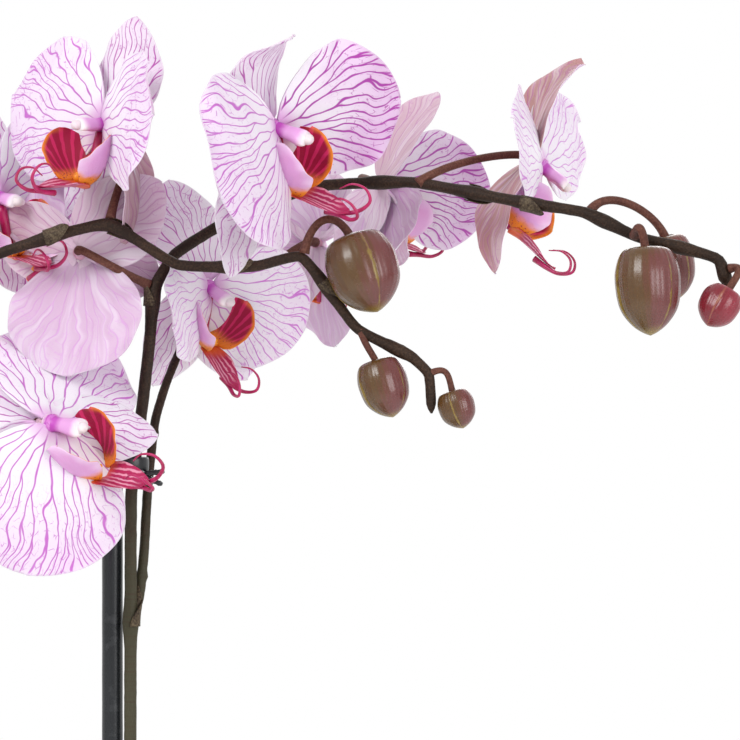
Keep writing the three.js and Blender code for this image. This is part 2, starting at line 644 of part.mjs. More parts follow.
// Flowers are fitted from the front back. The room that their blades and lips keep clear of is a gap
// wider than the pieces in it.
const numbered = FLOWERS.map((flower, index) => ({ ...flower, name: `flower_${index + 1}` }));
const frontFirst = [...numbered].sort((one, other) => one.centre[1] - other.centre[1]);
const stalkRoom = new Map(numbered.map((flower) => [flower, solidOf(makeStalk(flower, GAP))]));
const room = [
  makeSpike(MAIN_ROUTE, MAIN_RADIUS + GAP, 40),
  makeSpike(SECOND_ROUTE, SECOND_RADIUS + GAP, 40),
  makeSpike(BRANCH_ROUTE, BRANCH_RADIUS + GAP, 12),
  ...BUDS.map((bud) => makeBud(bud, GAP)),
  ...numbered.map((flower) => makeColumn(flower, GAP)),
].map(solidOf).concat(...stalkRoom.values());

const larger = (one, other) => (other.volume() > one.volume() ? other : one);
const largest = (solid) => solid.decompose().reduce(larger);

// Trims a flower's blades or lip clear of the room taken so far, but for its own, and takes up theirs.
function fitted(make, flower, own = null) {
  const taken = room.filter((solid) => solid !== own);
  const trimmed = taken.reduce((rest, solid) => rest.subtract(solid), solidOf(make(flower, 0)));
  room.push(solidOf(make(flower, ROOM_GAP)));
  return trimmed;
}

for (const flower of frontFirst) {
  const petals = largest(fitted(makePetals, flower));
  const lip = largest(fitted(makeLip, flower));
  const blades = fitted(makeSepals, flower, stalkRoom.get(flower));
  const sepals = largest(blades.add(solidOf(makeStalk(flower, 0))));
  orchid.add(
    named(`${flower.name}_petals`, geometryOf(petals), PETAL_LILAC),
    named(`${flower.name}_lip`, geometryOf(lip), LIP_CRIMSON),
    named(`${flower.name}_sepals`, geometryOf(sepals), SEPAL_PINK),
    named(`${flower.name}_column`, makeColumn(flower, 0), COLUMN_PINK),
  );
}

export default orchid;
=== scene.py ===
"""A potted moth orchid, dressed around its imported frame.

Metres, +Z up, the front towards -Y. Each sub-assembly is a class that builds its own meshes and
finishes, and main() puts them together.
"""

import logging
import math
from dataclasses import dataclass, replace
from enum import Enum
from typing import Callable, Sequence

import bpy
import numpy as np
from mathutils import Matrix, Vector


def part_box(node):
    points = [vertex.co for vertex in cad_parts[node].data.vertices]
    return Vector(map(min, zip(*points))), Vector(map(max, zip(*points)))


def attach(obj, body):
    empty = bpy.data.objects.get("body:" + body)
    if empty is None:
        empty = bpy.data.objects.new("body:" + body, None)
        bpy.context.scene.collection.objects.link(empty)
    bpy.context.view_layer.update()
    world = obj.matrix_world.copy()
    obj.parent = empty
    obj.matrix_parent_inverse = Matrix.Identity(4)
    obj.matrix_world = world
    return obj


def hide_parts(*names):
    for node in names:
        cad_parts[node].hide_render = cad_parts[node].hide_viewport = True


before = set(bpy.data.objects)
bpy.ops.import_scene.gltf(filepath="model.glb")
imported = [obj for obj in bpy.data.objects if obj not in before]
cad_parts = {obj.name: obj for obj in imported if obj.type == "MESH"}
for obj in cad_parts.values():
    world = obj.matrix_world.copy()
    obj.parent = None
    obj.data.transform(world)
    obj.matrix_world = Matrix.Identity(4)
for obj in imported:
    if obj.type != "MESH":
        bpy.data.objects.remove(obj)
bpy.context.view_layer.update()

LOG = logging.getLogger("orchid")
MM = 0.001
SEED = 7
# How finely a curve is measured between two of its points.
STEPS_A_SPAN = 24
# How near its axis a lathed profile starts and ends, in millimetres.
AXIS = 0.02
# How far behind a blade's root its veins start to fan out, in millimetres.
FAN = 5.0

Colour = tuple[float, float, float]
Point = tuple[float, float, float]
Material = bpy.types.Material
Object = bpy.types.Object
Socket = bpy.types.NodeSocket


# ------------------------------------------------------------------ shader expressions

class Value:
    """A shader socket that Python expressions can work on."""

    def __init__(self, shader: "Shader", socket: Socket) -> None:
        """Keeps the socket and the shader it belongs to."""
        self.shader = shader
        self.socket = socket

    def math(self, operation: str, *others: "float | Value") -> "Value":
        """One Math node on this value.

        Args:
            operation: the Math node's operation.
            others: its further inputs.

        Returns:
            The node's result.
        """
        inputs = dict(enumerate((self, *others)))
        return self.shader.node("ShaderNodeMath", {"operation": operation}, inputs)

    def __add__(self, other: "float | Value") -> "Value":
        """Sum."""
        return self.math("ADD", other)

    __radd__ = __add__

    def __sub__(self, other: "float | Value") -> "Value":
        """Difference."""
        return self.math("SUBTRACT", other)

    def __rsub__(self, other: float) -> "Value":
        """A number less this value."""
        return self.math("MULTIPLY_ADD", -1.0, other)

    def __mul__(self, other: "float | Value") -> "Value":
        """Product."""
        return self.math("MULTIPLY", other)

    __rmul__ = __mul__

    def __truediv__(self, other: "float | Value") -> "Value":
        """Quotient."""
        return self.math("DIVIDE", other)

    def __abs__(self) -> "Value":
        """Size without sign."""
        return self.math("ABSOLUTE")

    def above(self, low: float, high: float) -> "Value":
        """0 below low, 1 above high, and a smooth step between them.

        Args:
            low: where the step starts.
            high: where it ends.

        Returns:
            The stepped value.
        """
        settings = {"interpolation_type": "SMOOTHSTEP"}
        inputs = {"Value": self, "From Min": low, "From Max": high}
        return self.shader.node("ShaderNodeMapRange", settings, inputs)

    def below(self, low: float, high: float) -> "Value":
        """1 below low, 0 above high, and a smooth step between them."""
        return 1 - self.above(low, high)


class Shader:
    """A material whose nodes are written as expressions."""

    def __init__(self, name: str) -> None:
        """Starts a material with a Principled shader.

        Args:
            name: the material's name.
        """
        self.material = bpy.data.materials.new(name)
        self.material.use_nodes = True
        self.tree = self.material.node_tree
        self.surface = self.tree.nodes["Principled BSDF"]

    def node(self, kind: str, settings: dict | None = None, inputs: dict | None = None,
             output: int | str = 0) -> Value:
        """Adds one node.

        Args:
            kind: the node's type.
            settings: its properties, or "stops" for a colour ramp.
            inputs: numbers, colours or Values by socket name or number.
            output: the socket to return.

        Returns:
            The chosen output.
        """
        node = self.tree.nodes.new(kind)
        for key, setting in (settings or {}).items():
            if key == "stops":
                self._set_stops(node.color_ramp, setting)
            else:
                setattr(node, key, setting)
        for key, value in (inputs or {}).items():
            self.feed(node.inputs[key], value)
        return Value(self, node.outputs[output])

    def _set_stops(self, ramp: bpy.types.ColorRamp, stops: Sequence[tuple[float, Colour]]) -> None:
        """Fills a colour ramp.

        Args:
            ramp: the ramp, with two stops of its own.
            stops: each stop's place and colour.
        """
        while len(ramp.elements) < len(stops):
            ramp.elements.new(1.0)
        for element, (place, colour) in zip(ramp.elements, stops):
            element.position = place
            element.color = (*colour, 1.0)

    def feed(self, socket: Socket, value: "float | Colour | Value") -> None:
        """Links a Value to a socket, or sets the socket's own value.

        Args:
            socket: an input.
            value: what goes into it.
        """
        if isinstance(value, Value):
            self.tree.links.new(value.socket, socket)
        elif isinstance(value, tuple) and len(socket.default_value) == 4 and len(value) == 3:
            socket.default_value = (*value, 1.0)
        else:
            socket.default_value = value

    def mix(self, factor: "float | Value", first: "Colour | Value", second: "Colour | Value") -> Value:
        """Mixes two colours.

        Args:
            factor: 0 for the first colour, 1 for the second.
            first: a colour.
            second: a colour.

        Returns:
            The mixed colour.
        """
        settings = {"data_type": "RGBA", "clamp_factor": True}
        return self.node("ShaderNodeMix", settings, {0: factor, 6: first, 7: second}, output=2)

    def ramp(self, value: Value, *stops: tuple[float, Colour]) -> Value:
        """A colour ramp read at a value."""
        return self.node("ShaderNodeValToRGB", {"stops": stops}, {"Fac": value})

    def noise(self, where: Value, scale: float, detail: float = 2.0, roughness: float = 0.5) -> Value:
        """Noise from 0 to 1 at a place."""
        inputs = {"Vector": where, "Scale": scale, "Detail": detail, "Roughness": roughness}
        return self.node("ShaderNodeTexNoise", None, inputs)

    def random(self, number: Value) -> Value:
        """A random number from 0 to 1 for each whole number."""
        return self.node("ShaderNodeTexWhiteNoise", {"noise_dimensions": "1D"}, {"W": number})

    def attribute(self, name: str, number: bool = False) -> Value:
        """The vector, or the number, that the mesh stores under a name."""
        return self.node("ShaderNodeAttribute", {"attribute_name": name}, None, "Fac" if number else "Vector")

    def split(self, vector: Value) -> tuple[Value, Value, Value]:
        """A vector's three parts."""
        node = self.node("ShaderNodeSeparateXYZ", None, {0: vector}).socket.node
        return tuple(Value(self, socket) for socket in node.outputs)

    def join(self, x: "float | Value", y: "float | Value", z: "float | Value" = 0.0) -> Value:
        """A vector from three numbers."""
        return self.node("ShaderNodeCombineXYZ", None, {0: x, 1: y, 2: z})

    def object_place(self) -> Value:
        """Object coordinates, in metres."""
        return self.node("ShaderNodeTexCoord", None, None, "Object")

    def bump(self, height: Value, distance: float, strength: float = 1.0) -> Value:
        """A normal from a height, with the distance in metres."""
        inputs = {"Height": height, "Distance": distance, "Strength": strength}
        return self.node("ShaderNodeBump", None, inputs)

    def blade_tag(self, tag: Value) -> tuple[Value, Value]:
        """A blade's own number, and 1 on its front, from the third part of its place."""
        number = (tag * 0.5 + 0.001).math("FLOOR")
        return number, (tag - number * 2).above(0.4, 0.6)

    def finish(self, **sockets: "float | Colour | Value") -> Material:
        """Feeds the Principled shader.

        Args:
            sockets: what goes into each socket, with _ for a space in its name.

        Returns:
            The material.
        """
        for name, value in sockets.items():
            self.feed(self.surface.inputs[name.replace("_", " ")], value)
        return self.material


# ------------------------------------------------------------------ mesh making

def smooth_step(value: np.ndarray, low: float, high: float) -> np.ndarray:
    """0 below low, 1 above high, and a smooth step between."""
    part = np.clip((value - low) / (high - low), 0.0, 1.0)
    return part * part * (3.0 - 2.0 * part)


def unit(vectors: np.ndarray) -> np.ndarray:
    """Vectors along the last axis, at length 1."""
    return vectors / np.maximum(np.linalg.norm(vectors, axis=-1, keepdims=True), 1e-12)


def round_turn(count: int) -> np.ndarray:
    """Even angles round a full turn, in radians."""
    return np.linspace(0, 2 * math.pi, count, endpoint=False)


def squared(wave: np.ndarray, power: float) -> np.ndarray:
    """A sine or cosine drawn out towards -1 and 1, which makes a rounded box of a circle."""
    return np.sign(wave) * np.abs(wave) ** power


def spun(degrees: float, axis: str) -> Matrix:
    """A turn about the X, Y or Z axis."""
    return Matrix.Rotation(math.radians(degrees), 4, axis)


def put(name: str, data: bpy.types.ID) -> Object:
    """A new object in the scene.

    Args:
        name: its name.
        data: its mesh, lamp or camera.

    Returns:
        The object.
    """
    made = bpy.data.objects.new(name, data)
    bpy.context.scene.collection.objects.link(made)
    return made


@dataclass
class Shape:
    """Points and faces, with what the finishes read at each point."""

    points: np.ndarray
    faces: list[tuple[int, ...]]
    place: np.ndarray
    rim: np.ndarray
    finish: int = 0
    tone: float = 0.5

    def moved(self, matrix: Matrix) -> "Shape":
        """This shape under a matrix, turned right side out if the matrix mirrors it.

        Args:
            matrix: a 4 by 4 matrix.

        Returns:
            A new shape.
        """
        turn = np.array(matrix)
        points = self.points @ turn[:3, :3].T + turn[:3, 3]
        mirrored = np.linalg.det(turn[:3, :3]) < 0
        faces = [tuple(reversed(face)) for face in self.faces] if mirrored else self.faces
        return Shape(points, faces, self.place, self.rim, self.finish, self.tone)

    def metres(self) -> "Shape":
        """This shape, taken from millimetres to metres."""
        return self.moved(Matrix.Scale(MM, 4))

    def dressed(self, finish: int, tone: float = 0.5) -> "Shape":
        """This shape with another finish number and tone."""
        return Shape(self.points, self.faces, self.place, self.rim, finish, tone)


def slab(front: np.ndarray, back: np.ndarray, place: np.ndarray, rim: np.ndarray) -> Shape:
    """A thin closed sheet between two grids of points.

    Args:
        front: rows by columns by 3 points, seen from the front.
        back: the same points on the back.
        place: rows by columns by 2 numbers that finishes read; the third is 1 in front and 0 behind.
        rim: rows by columns, 1 at the free edge and 0 inside.

    Returns:
        The closed shape.
    """
    rows, columns = front.shape[:2]
    count = rows * columns
    number = np.arange(count).reshape(rows, columns)
    faces: list[tuple[int, ...]] = []
    for row in range(rows - 1):
        for column in range(columns - 1):
            a, b = number[row, column], number[row, column + 1]
            c, d = number[row + 1, column + 1], number[row + 1, column]
            faces.append((a, b, c, d))
            faces.append((a + count, d + count, c + count, b + count))
    loop = [*number[0, :], *number[1:, -1], *number[-1, -2::-1], *number[-2:0:-1, 0]]
    for a, b in zip(loop, loop[1:] + loop[:1]):
        faces.append((b, a, a + count, b + count))
    flat = place.reshape(count, 2)
    sides = [np.concatenate([flat, np.full((count, 1), side)], axis=1) for side in (1.0, 0.0)]
    points = np.concatenate([front.reshape(count, 3), back.reshape(count, 3)])
    return Shape(points, faces, np.concatenate(sides), np.tile(rim.reshape(count), 2))


def loft(rings: np.ndarray, closed_ends: bool = True) -> Shape:
    """A closed skin over rings of points, each ring going anticlockwise as seen from the last one.

    Args:
        rings: rings by points by 3.
        closed_ends: False joins the last ring to the first, as on a torus.

    Returns:
        The closed shape, whose place is how far round, how far along, and 0.
    """
    count, sides = rings.shape[:2]
    number = np.arange(count * sides).reshape(count, sides)
    faces: list[tuple[int, ...]] = []
    for ring in range(count - 1 if closed_ends else count):
        here, there = number[ring], number[(ring + 1) % count]
        for side in range(sides):
            after = (side + 1) % sides
            faces.append((here[side], here[after], there[after], there[side]))
    points = rings.reshape(-1, 3)
    around, along = np.meshgrid(np.arange(sides) / sides, np.arange(count) / max(count - 1, 1))
    place = np.stack([around.ravel(), along.ravel(), np.zeros(count * sides)], axis=1)
    if closed_ends:
        first, last = len(points), len(points) + 1
        points = np.concatenate([points, rings[[0, -1]].mean(axis=1)])
        place = np.concatenate([place, [[0.5, 0.0, 0.0], [0.5, 1.0, 0.0]]])
        for side in range(sides):
            after = (side + 1) % sides
            faces.append((first, number[0][after], number[0][side]))
            faces.append((last, number[-1][side], number[-1][after]))
    return Shape(points, faces, place, place[:, 1].copy())


def turned(profile: Sequence[Sequence[float]], sides: int,
           sway: Callable[[np.ndarray, np.ndarray], np.ndarray] | None = None) -> Shape:
    """A lathed closed shape about +Z.

    Args:
        profile: pairs of radius and height, from the bottom up.
        sides: points round each ring.
        sway: a factor on the radius, from the angle round and the part of the way up.

    Returns:
        The shape.
    """
    radius, height = (np.array(values)[:, None] for values in zip(*profile))
    angle = round_turn(sides)[None, :]
    up = np.linspace(0, 1, len(profile))[:, None]
    reach = radius * (sway(angle, up) if sway else 1.0) + 0 * angle
    rings = np.stack([reach * np.cos(angle), reach * np.sin(angle), height + 0 * angle], axis=2)
    return loft(rings)


def curve_through(profile: Sequence[tuple[float, ...]], steps: int, looseness: float = 1.0) -> np.ndarray:
    """Even steps along a smooth curve through points.

    Args:
        profile: the points, of any dimension.
        steps: how many points to return.
        looseness: 1 for round bends, less for sharper ones.

    Returns:
        The points on the curve.
    """
    knots = np.array(profile, dtype=float)
    padded = np.concatenate([[2 * knots[0] - knots[1]], knots, [2 * knots[-1] - knots[-2]]])
    gaps = np.maximum(np.linalg.norm(np.diff(padded, axis=0), axis=1), 1e-9) ** 0.5
    speeds = np.diff(padded, axis=0) / gaps[:, None]
    wide = (padded[2:] - padded[:-2]) / (gaps[1:] + gaps[:-1])[:, None]
    slopes = (speeds[:-1] + speeds[1:] - wide) * looseness
    fine: list[np.ndarray] = []
    for here, there, leave, arrive, gap in zip(knots, knots[1:], slopes, slopes[1:], gaps[1:]):
        for part in np.linspace(0, 1, STEPS_A_SPAN, endpoint=False):
            square, cube = part * part, part ** 3
            fine.append((2 * cube - 3 * square + 1) * here + (cube - 2 * square + part) * gap * leave
                        + (3 * square - 2 * cube) * there + (cube - square) * gap * arrive)
    fine.append(knots[-1])
    path = np.array(fine)
    lengths = np.concatenate([[0], np.cumsum(np.linalg.norm(np.diff(path, axis=0), axis=1))])
    wanted = np.linspace(0, lengths[-1], steps)
    return np.stack([np.interp(wanted, lengths, path[:, axis]) for axis in range(path.shape[1])], axis=1)


def build(name: str, shapes: Sequence[Shape], finishes: Sequence[Material]) -> Object:
    """One mesh object from closed shapes.

    Args:
        name: the object's name.
        shapes: its closed shapes, in metres.
        finishes: the materials that the shapes' finish numbers name.

    Returns:
        The object, at the origin.
    """
    mesh = bpy.data.meshes.new(name)
    faces: list[tuple[int, ...]] = []
    kinds: list[int] = []
    start = 0
    for shape in shapes:
        faces.extend(tuple(int(corner) + start for corner in face) for face in shape.faces)
        kinds.extend([shape.finish] * len(shape.faces))
        start += len(shape.points)
    mesh.from_pydata(np.concatenate([shape.points for shape in shapes]).tolist(), [], faces)
    for finish in finishes:
        mesh.materials.append(finish)
    mesh.polygons.foreach_set("material_index", kinds)
    mesh.polygons.foreach_set("use_smooth", [True] * len(faces))
    place = mesh.attributes.new("place", "FLOAT_VECTOR", "POINT")
    place.data.foreach_set("vector", np.concatenate([shape.place for shape in shapes]).ravel())
    edge = mesh.attributes.new("edge", "FLOAT_VECTOR", "POINT")
    rims = np.concatenate([shape.rim for shape in shapes])
    tones = np.concatenate([np.full(len(shape.points), shape.tone) for shape in shapes])
    edge.data.foreach_set("vector", np.stack([rims, tones, np.zeros(len(rims))], axis=1).ravel())
    mesh.update()
    return put(name, mesh)


def settle(piece: Object, slot: str, *nodes: str) -> Object:
    """Rides a finished piece on the plant's one body, in place of its nodes.

    Args:
        piece: the finished object.
        slot: a material slot's name; it is not used.
        nodes: the nodes that it stands for.

    Returns:
        The piece.
    """
    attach(piece, "root")
    if nodes:
        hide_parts(*nodes)
    LOG.info("%s: %d faces", piece.name, len(piece.data.polygons))
    return piece


# ------------------------------------------------------------------ tepals

@dataclass(frozen=True)
class Tepal:
    """A petal, sepal or leaf, in millimetres and degrees. It grows along +Y from its root and faces +Z.

    EDGE is how thick its edge is, ROOT_AT how far its root stands off the flower's middle, and SPREAD the
    angle that spaces its columns, which crowd together towards the edges.
    """

    length: float = 46.0
    width: float = 54.0
    claw: float = 0.16
    fullest: float = 1.12
    fullness: float = 0.58
    lean: float = 0.0
    bend: float = 12.0
    curl: float = 0.0
    hollow: float = 3.0
    fold: float = 0.0
    ruffle: float = 1.0
    tone: float = 0.5
    body: float = 0.35
    root: float = 1.1
    groove: float = 0.5
    seed: int = 0
    rows: int = 44
    columns: int = 38

    EDGE = 0.22
    ROOT_AT = 0.8
    SPREAD = math.pi / 2 * 0.92

    def half_width(self, along: np.ndarray) -> np.ndarray:
        """Half the width at each part of the length.

        Args:
            along: parts of the length, from 0 to 1.

        Returns:
            The half widths, in millimetres.
        """
        swell = np.maximum(np.sin(math.pi * along ** self.fullest), 0.0) ** self.fullness
        neck = self.claw * np.sqrt(np.maximum(1 - along ** 4, 0.0))
        return self.width / 2 * (neck + (1 - self.claw) * swell)

    def shape(self, finish: int = 0) -> Shape:
        """The blade as a thin closed sheet.

        Args:
            finish: its finish number.

        Returns:
            The shape, in millimetres, placed in its flower.
        """
        dice = np.random.default_rng(SEED + self.seed)
        part = np.linspace(0, 1, self.rows)
        # Rows crowd together towards the tip and stop just short of it.
        along = (1 - (1 - part) ** 1.35) * 0.9995
        across = np.sin(np.linspace(-1, 1, self.columns) * self.SPREAD) / math.sin(self.SPREAD)
        slope = np.radians(self.lean + self.bend * along + self.curl * along ** 4)
        step = np.diff(along, prepend=0.0) * self.length
        run = np.cumsum(step * np.cos(slope))
        rise = np.cumsum(step * np.sin(slope))
        half = self.half_width(along)
        s, t = np.meshgrid(across, along)
        side = s * half[:, None]

        def ripple(count: float) -> np.ndarray:
            """Waves along the blade, of a random height, start and slant."""
            height, start, slant = dice.uniform(0.4, 1.0), dice.uniform(), dice.uniform(-1, 1)
            return height * np.sin(2 * math.pi * (count * t + start) + 1.3 * s * slant)

        wave = sum(ripple(count) for count in (1, 2, 3.3))
        lift = (self.ruffle * wave * np.abs(s) ** 3 * smooth_step(t, 0.1, 0.5)
                - self.hollow * np.abs(s) ** 2 * np.sin(math.pi * np.minimum(t * 1.1, 1.0))
                + self.fold * np.abs(s) * half[:, None] / (self.width / 2)
                - self.groove * np.exp(-(side / (2.6 * self.groove)) ** 2) * (1 - t)
                + 0.5 * dice.normal() * np.sin(3 * t + 2 * s))
        y = run[:, None] - lift * np.sin(slope)[:, None]
        z = rise[:, None] + lift * np.cos(slope)[:, None]
        middle = np.stack([side, y, z], axis=2)
        normal = unit(np.cross(np.gradient(middle, axis=1), np.gradient(middle, axis=0)))
        inside = np.minimum((1 - np.abs(s)) * half[:, None], (1 - t) * self.length)
        thickness = self.EDGE + self.body * smooth_step(inside, 0.0, 6.0)
        thickness = (thickness + self.root * (1 - smooth_step(t, 0.0, 0.25)))[..., None]
        place = np.stack([side, t * self.length], axis=2)
        sheet = slab(middle + normal * thickness / 2, middle - normal * thickness / 2, place,
                     1 - np.clip(inside / 5.0, 0, 1))
        sheet.place[:, 2] += 2 * (self.seed % 40)
        sheet.tone = self.tone
        sheet.finish = finish
        return sheet.moved(Matrix.Translation((0, self.ROOT_AT, 0)))


PETAL = Tepal()
DORSAL = Tepal(length=43, width=27, claw=0.26, fullest=0.92, fullness=0.72, lean=-6, bend=-8, hollow=2.0,
               ruffle=0.4, tone=0.4, rows=34, columns=24)
LATERAL = Tepal(length=41, width=26, claw=0.28, fullest=0.85, fullness=0.72, lean=-6, bend=-10, hollow=2.0,
                ruffle=0.4, tone=0.4, rows=34, columns=24)


# ------------------------------------------------------------------ flower finishes

class Veins(Enum):
    """How closely a tepal is veined: the lines in a radian at its claw, and where they fork, in mm."""

    PETAL = (3.0, (11.0, 22.0, 39.0))
    SEPAL = (3.4, (12.0, 24.0, 42.0))


@dataclass(frozen=True)
class TepalFinish:
    """Thin living tissue with forked veins, paler behind. On the petals the back colours are darkened with
    painted shade.
    """

    name: str
    veins: Veins
    ground: Colour
    blush: Colour
    vein: Colour
    blush_vein: Colour
    # The back colours: the back's own tint, which on the petals also carries painted shade.
    behind: Colour
    behind_deep: Colour
    behind_veins: float = 0.4
    claw: Colour = (0.66, 0.24, 0.63)

    def _forks(self, shader: Shader, turn: Value, reach: Value, seed: Value) -> Value:
        """How far a point is from the nearest vein.

        Args:
            shader: the material's shader.
            turn: the point's angle about the place where the veins fan out.
            reach: its distance from there, in millimetres.
            seed: the blade's own number.

        Returns:
            The distance, in millimetres.
        """
        lines, forks = self.veins.value
        distance: Value | None = None
        for level, fork in enumerate(forks):
            cells = turn * (lines * 2 ** level)
            cell = cells.math("FLOOR")
            start = (shader.random(cell * 1.37 + seed * 3.1 + level * 17.0) - 0.5) * (fork * 0.3) + fork
            opening = ((reach - start) / (fork * 0.25 + 1.5)).above(0.0, 1.0)
            offset = abs(abs(cells - cell - 0.5) - opening * 0.25) * reach / (lines * 2 ** level)
            if distance is None:
                distance = offset
            else:
                later = reach.above(fork * 0.85 - 0.1, fork * 0.85)
                distance = distance * (1 - later) + offset * later
        return distance

    def material(self) -> Material:
        """Builds the finish.

        Returns:
            The material.
        """
        shader = Shader(self.name)
        side, along, tag = shader.split(shader.attribute("place"))
        rim, tone, _ = shader.split(shader.attribute("edge"))
        seed, front = shader.blade_tag(tag)
        flat = shader.join(side, along, seed * 9.0)
        sway = (shader.noise(flat, 0.07, 1.0) - 0.5) * 0.34 + (shader.noise(flat, 0.3, 0.0) - 0.5) * 0.02
        ahead = along + FAN
        reach = (side * side + ahead * ahead).math("SQRT")
        turn = side.math("ARCTAN2", ahead) + sway + 20.0
        distance = self._forks(shader, turn, reach, seed)
        width = shader.noise(flat, 0.25, 1.0) * 0.22 + 0.10 + tone * 0.12
        line = (distance / width).below(0.45, 1.25)
        web_place = shader.join(turn * 26.0, reach * 0.34 + sway * 9.0, seed)
        web = shader.node("ShaderNodeTexVoronoi", {"feature": "DISTANCE_TO_EDGE"},
                          {"Vector": web_place, "Scale": 0.9, "Randomness": 0.9}, "Distance")
        links = web.below(0.012, 0.06) * reach.above(20.0, 34.0) * shader.noise(flat, 0.5).above(0.46, 0.6)
        dots = shader.noise(flat, 1.7, 1.0).above(0.66, 0.74) * reach.above(8.0, 14.0) * 0.16
        strength = (line.math("MAXIMUM", links * 0.75)) * reach.above(6.0, 11.0)
        strength = strength * (1 - rim.above(0.75, 1.0) * 0.85)
        strength = strength * (shader.noise(flat, 0.12, 1.0) * 0.6 + 0.55 + tone * 0.35)
        patches = shader.noise(flat, 0.06, 2.0).above(0.45, 0.8)
        pink = reach.above(18.0, 48.0) * (tone * 0.75 + 0.04) + patches * tone * 0.45
        ground = shader.mix(pink.math("MINIMUM", 1.0), self.ground, self.blush)
        ground = shader.mix(reach.below(6.5, 13.0) * 0.6, ground, self.claw)
        ground = shader.mix(dots, ground, self.vein)
        ink = shader.mix(tone, self.blush_vein, self.vein)
        faced = shader.mix(strength, ground, ink)
        # The back's colour, darkened with painted shade on the petals.
        back = shader.mix(tone.above(0.5, 0.9), self.behind, self.behind_deep)
        # Painted highlights: pale stripes along the back, where light would catch the crests of folds.
        painted_fold_light = shader.noise(shader.join(turn * 11.0, reach * 0.03, seed * 5.0), 1.0, 2.0).above(0.42, 0.68)
        back = shader.mix(painted_fold_light * reach.above(6.0, 16.0) * 0.42, back, self.ground)
        veiled = shader.mix(strength * self.behind_veins, back, ink)
        colour = shader.mix(front, veiled, faced)
        grain = shader.noise(flat, 2.6, 3.0) * 0.5 - line * 0.6
        return shader.finish(
            Base_Color=colour, Roughness=0.55 - shader.noise(flat, 0.4) * 0.12, Subsurface_Weight=0.28,
            Subsurface_Radius=(1.0, 0.7, 0.85), Subsurface_Scale=0.0016, Sheen_Weight=0.12,
            Specular_IOR_Level=0.35, Normal=shader.bump(grain, 0.00022, 0.5),
        )


@dataclass(frozen=True)
class LobeFinish:
    """The lip's side lobes: striped crimson inside with an orange edge, lilac outside with an orange foot."""

    name: str
    inside: Colour = (0.36, 0.004, 0.050)
    stripe: Colour = (0.62, 0.020, 0.130)
    outside: Colour = (0.72, 0.36, 0.66)
    orange: Colour = (0.86, 0.26, 0.015)

    def material(self) -> Material:
        """Builds the finish.

        Returns:
            The material.
        """
        shader = Shader(self.name)
        place = shader.attribute("place")
        across, along, tag = shader.split(place)
        rim, side, _ = shader.split(shader.attribute("edge"))
        _, front = shader.blade_tag(tag)
        ahead = (across * (side * 2 - 1)).above(-3.0, 6.0)
        wobble = shader.noise(place, 0.3, 2.0) * 2.4
        turn = across.math("ARCTAN2", along + 4.0)
        bands = (turn * 34.0 + wobble * 0.8).math("SINE").above(0.1, 0.7)
        inner = shader.mix(bands, self.inside, self.stripe)
        foot = (along + wobble).below(3.0, 7.5)
        edge = rim.above(0.55, 0.95) * ahead
        inner = shader.mix(edge.math("MAXIMUM", foot * 0.9), inner, self.orange)
        outer = shader.mix((rim * 0.6 + shader.noise(place, 0.2) * 0.4).above(0.3, 0.9), self.outside,
                           (0.84, 0.58, 0.80))
        outer = shader.mix((along + wobble * 1.4).below(4.5, 8.0), outer, self.orange)
        speckle = shader.noise(place, 1.3, 1.0).above(0.63, 0.7) * foot
        colour = shader.mix(speckle, shader.mix(front, outer, inner), self.inside)
        return shader.finish(
            Base_Color=colour, Roughness=0.46, Subsurface_Weight=0.2, Subsurface_Radius=(1.0, 0.5, 0.5),
            Subsurface_Scale=0.0012, Specular_IOR_Level=0.4,
            Normal=shader.bump(shader.noise(place, 1.6, 3.0) + bands * 0.3, 0.0002, 0.5),
        )


@dataclass(frozen=True)
class TongueFinish:
    """The lip's middle lobe: crimson stripes along a pale pink tongue, orange-red at its foot."""

    name: str
    crimson: Colour = (0.42, 0.006, 0.085)
    pale: Colour = (0.86, 0.42, 0.56)
    orange: Colour = (0.80, 0.15, 0.02)

    def material(self) -> Material:
        """Builds the finish.

        Returns:
            The material.
        """
        shader = Shader(self.name)
        place = shader.attribute("place")
        across, along, _ = shader.split(place)
        wobble = (shader.noise(place, 0.35, 2.0) - 0.5) * 1.6
        stripes = ((across + wobble) * 3.3).math("SINE").above(0.05, 0.75)
        pale = stripes * along.above(4.0, 9.0) * along.below(15.0, 20.0) * 0.75
        colour = shader.mix(pale, self.crimson, self.pale)
        colour = shader.mix((along + wobble * 2).below(2.5, 8.0) * 0.85, colour, self.orange)
        return shader.finish(
            Base_Color=colour, Roughness=0.42, Subsurface_Weight=0.15, Subsurface_Radius=(1.0, 0.4, 0.4),
            Subsurface_Scale=0.001, Normal=shader.bump(stripes + shader.noise(place, 1.5), 0.0002, 0.5),
        )


@dataclass(frozen=True)
class ColumnFinish:
    """The column: deep magenta at its foot, lilac along it and white at its tip."""

    name: str
    foot: Colour = (0.50, 0.06, 0.46)
    shaft: Colour = (0.74, 0.36, 0.70)
    tip: Colour = (0.90, 0.80, 0.84)

    def material(self) -> Material:
        """Builds the finish.

        Returns:
            The material.
        """
        shader = Shader(self.name)
        _, along, _ = shader.split(shader.attribute("place"))
        where = shader.object_place()
        shift = along + (shader.noise(where, 400.0) - 0.5) * 0.14
        colour = shader.ramp(shift, (0.0, self.tip), (0.12, self.foot), (0.32, self.foot), (0.5, self.shaft),
                             (0.78, self.shaft), (0.95, self.tip))
        return shader.finish(
            Base_Color=colour, Roughness=0.38, Subsurface_Weight=0.25, Subsurface_Radius=(1.0, 0.7, 0.8),
            Subsurface_Scale=0.0015, Normal=shader.bump(shader.noise(where, 1500.0, 3.0), 0.0001, 0.4),
        )


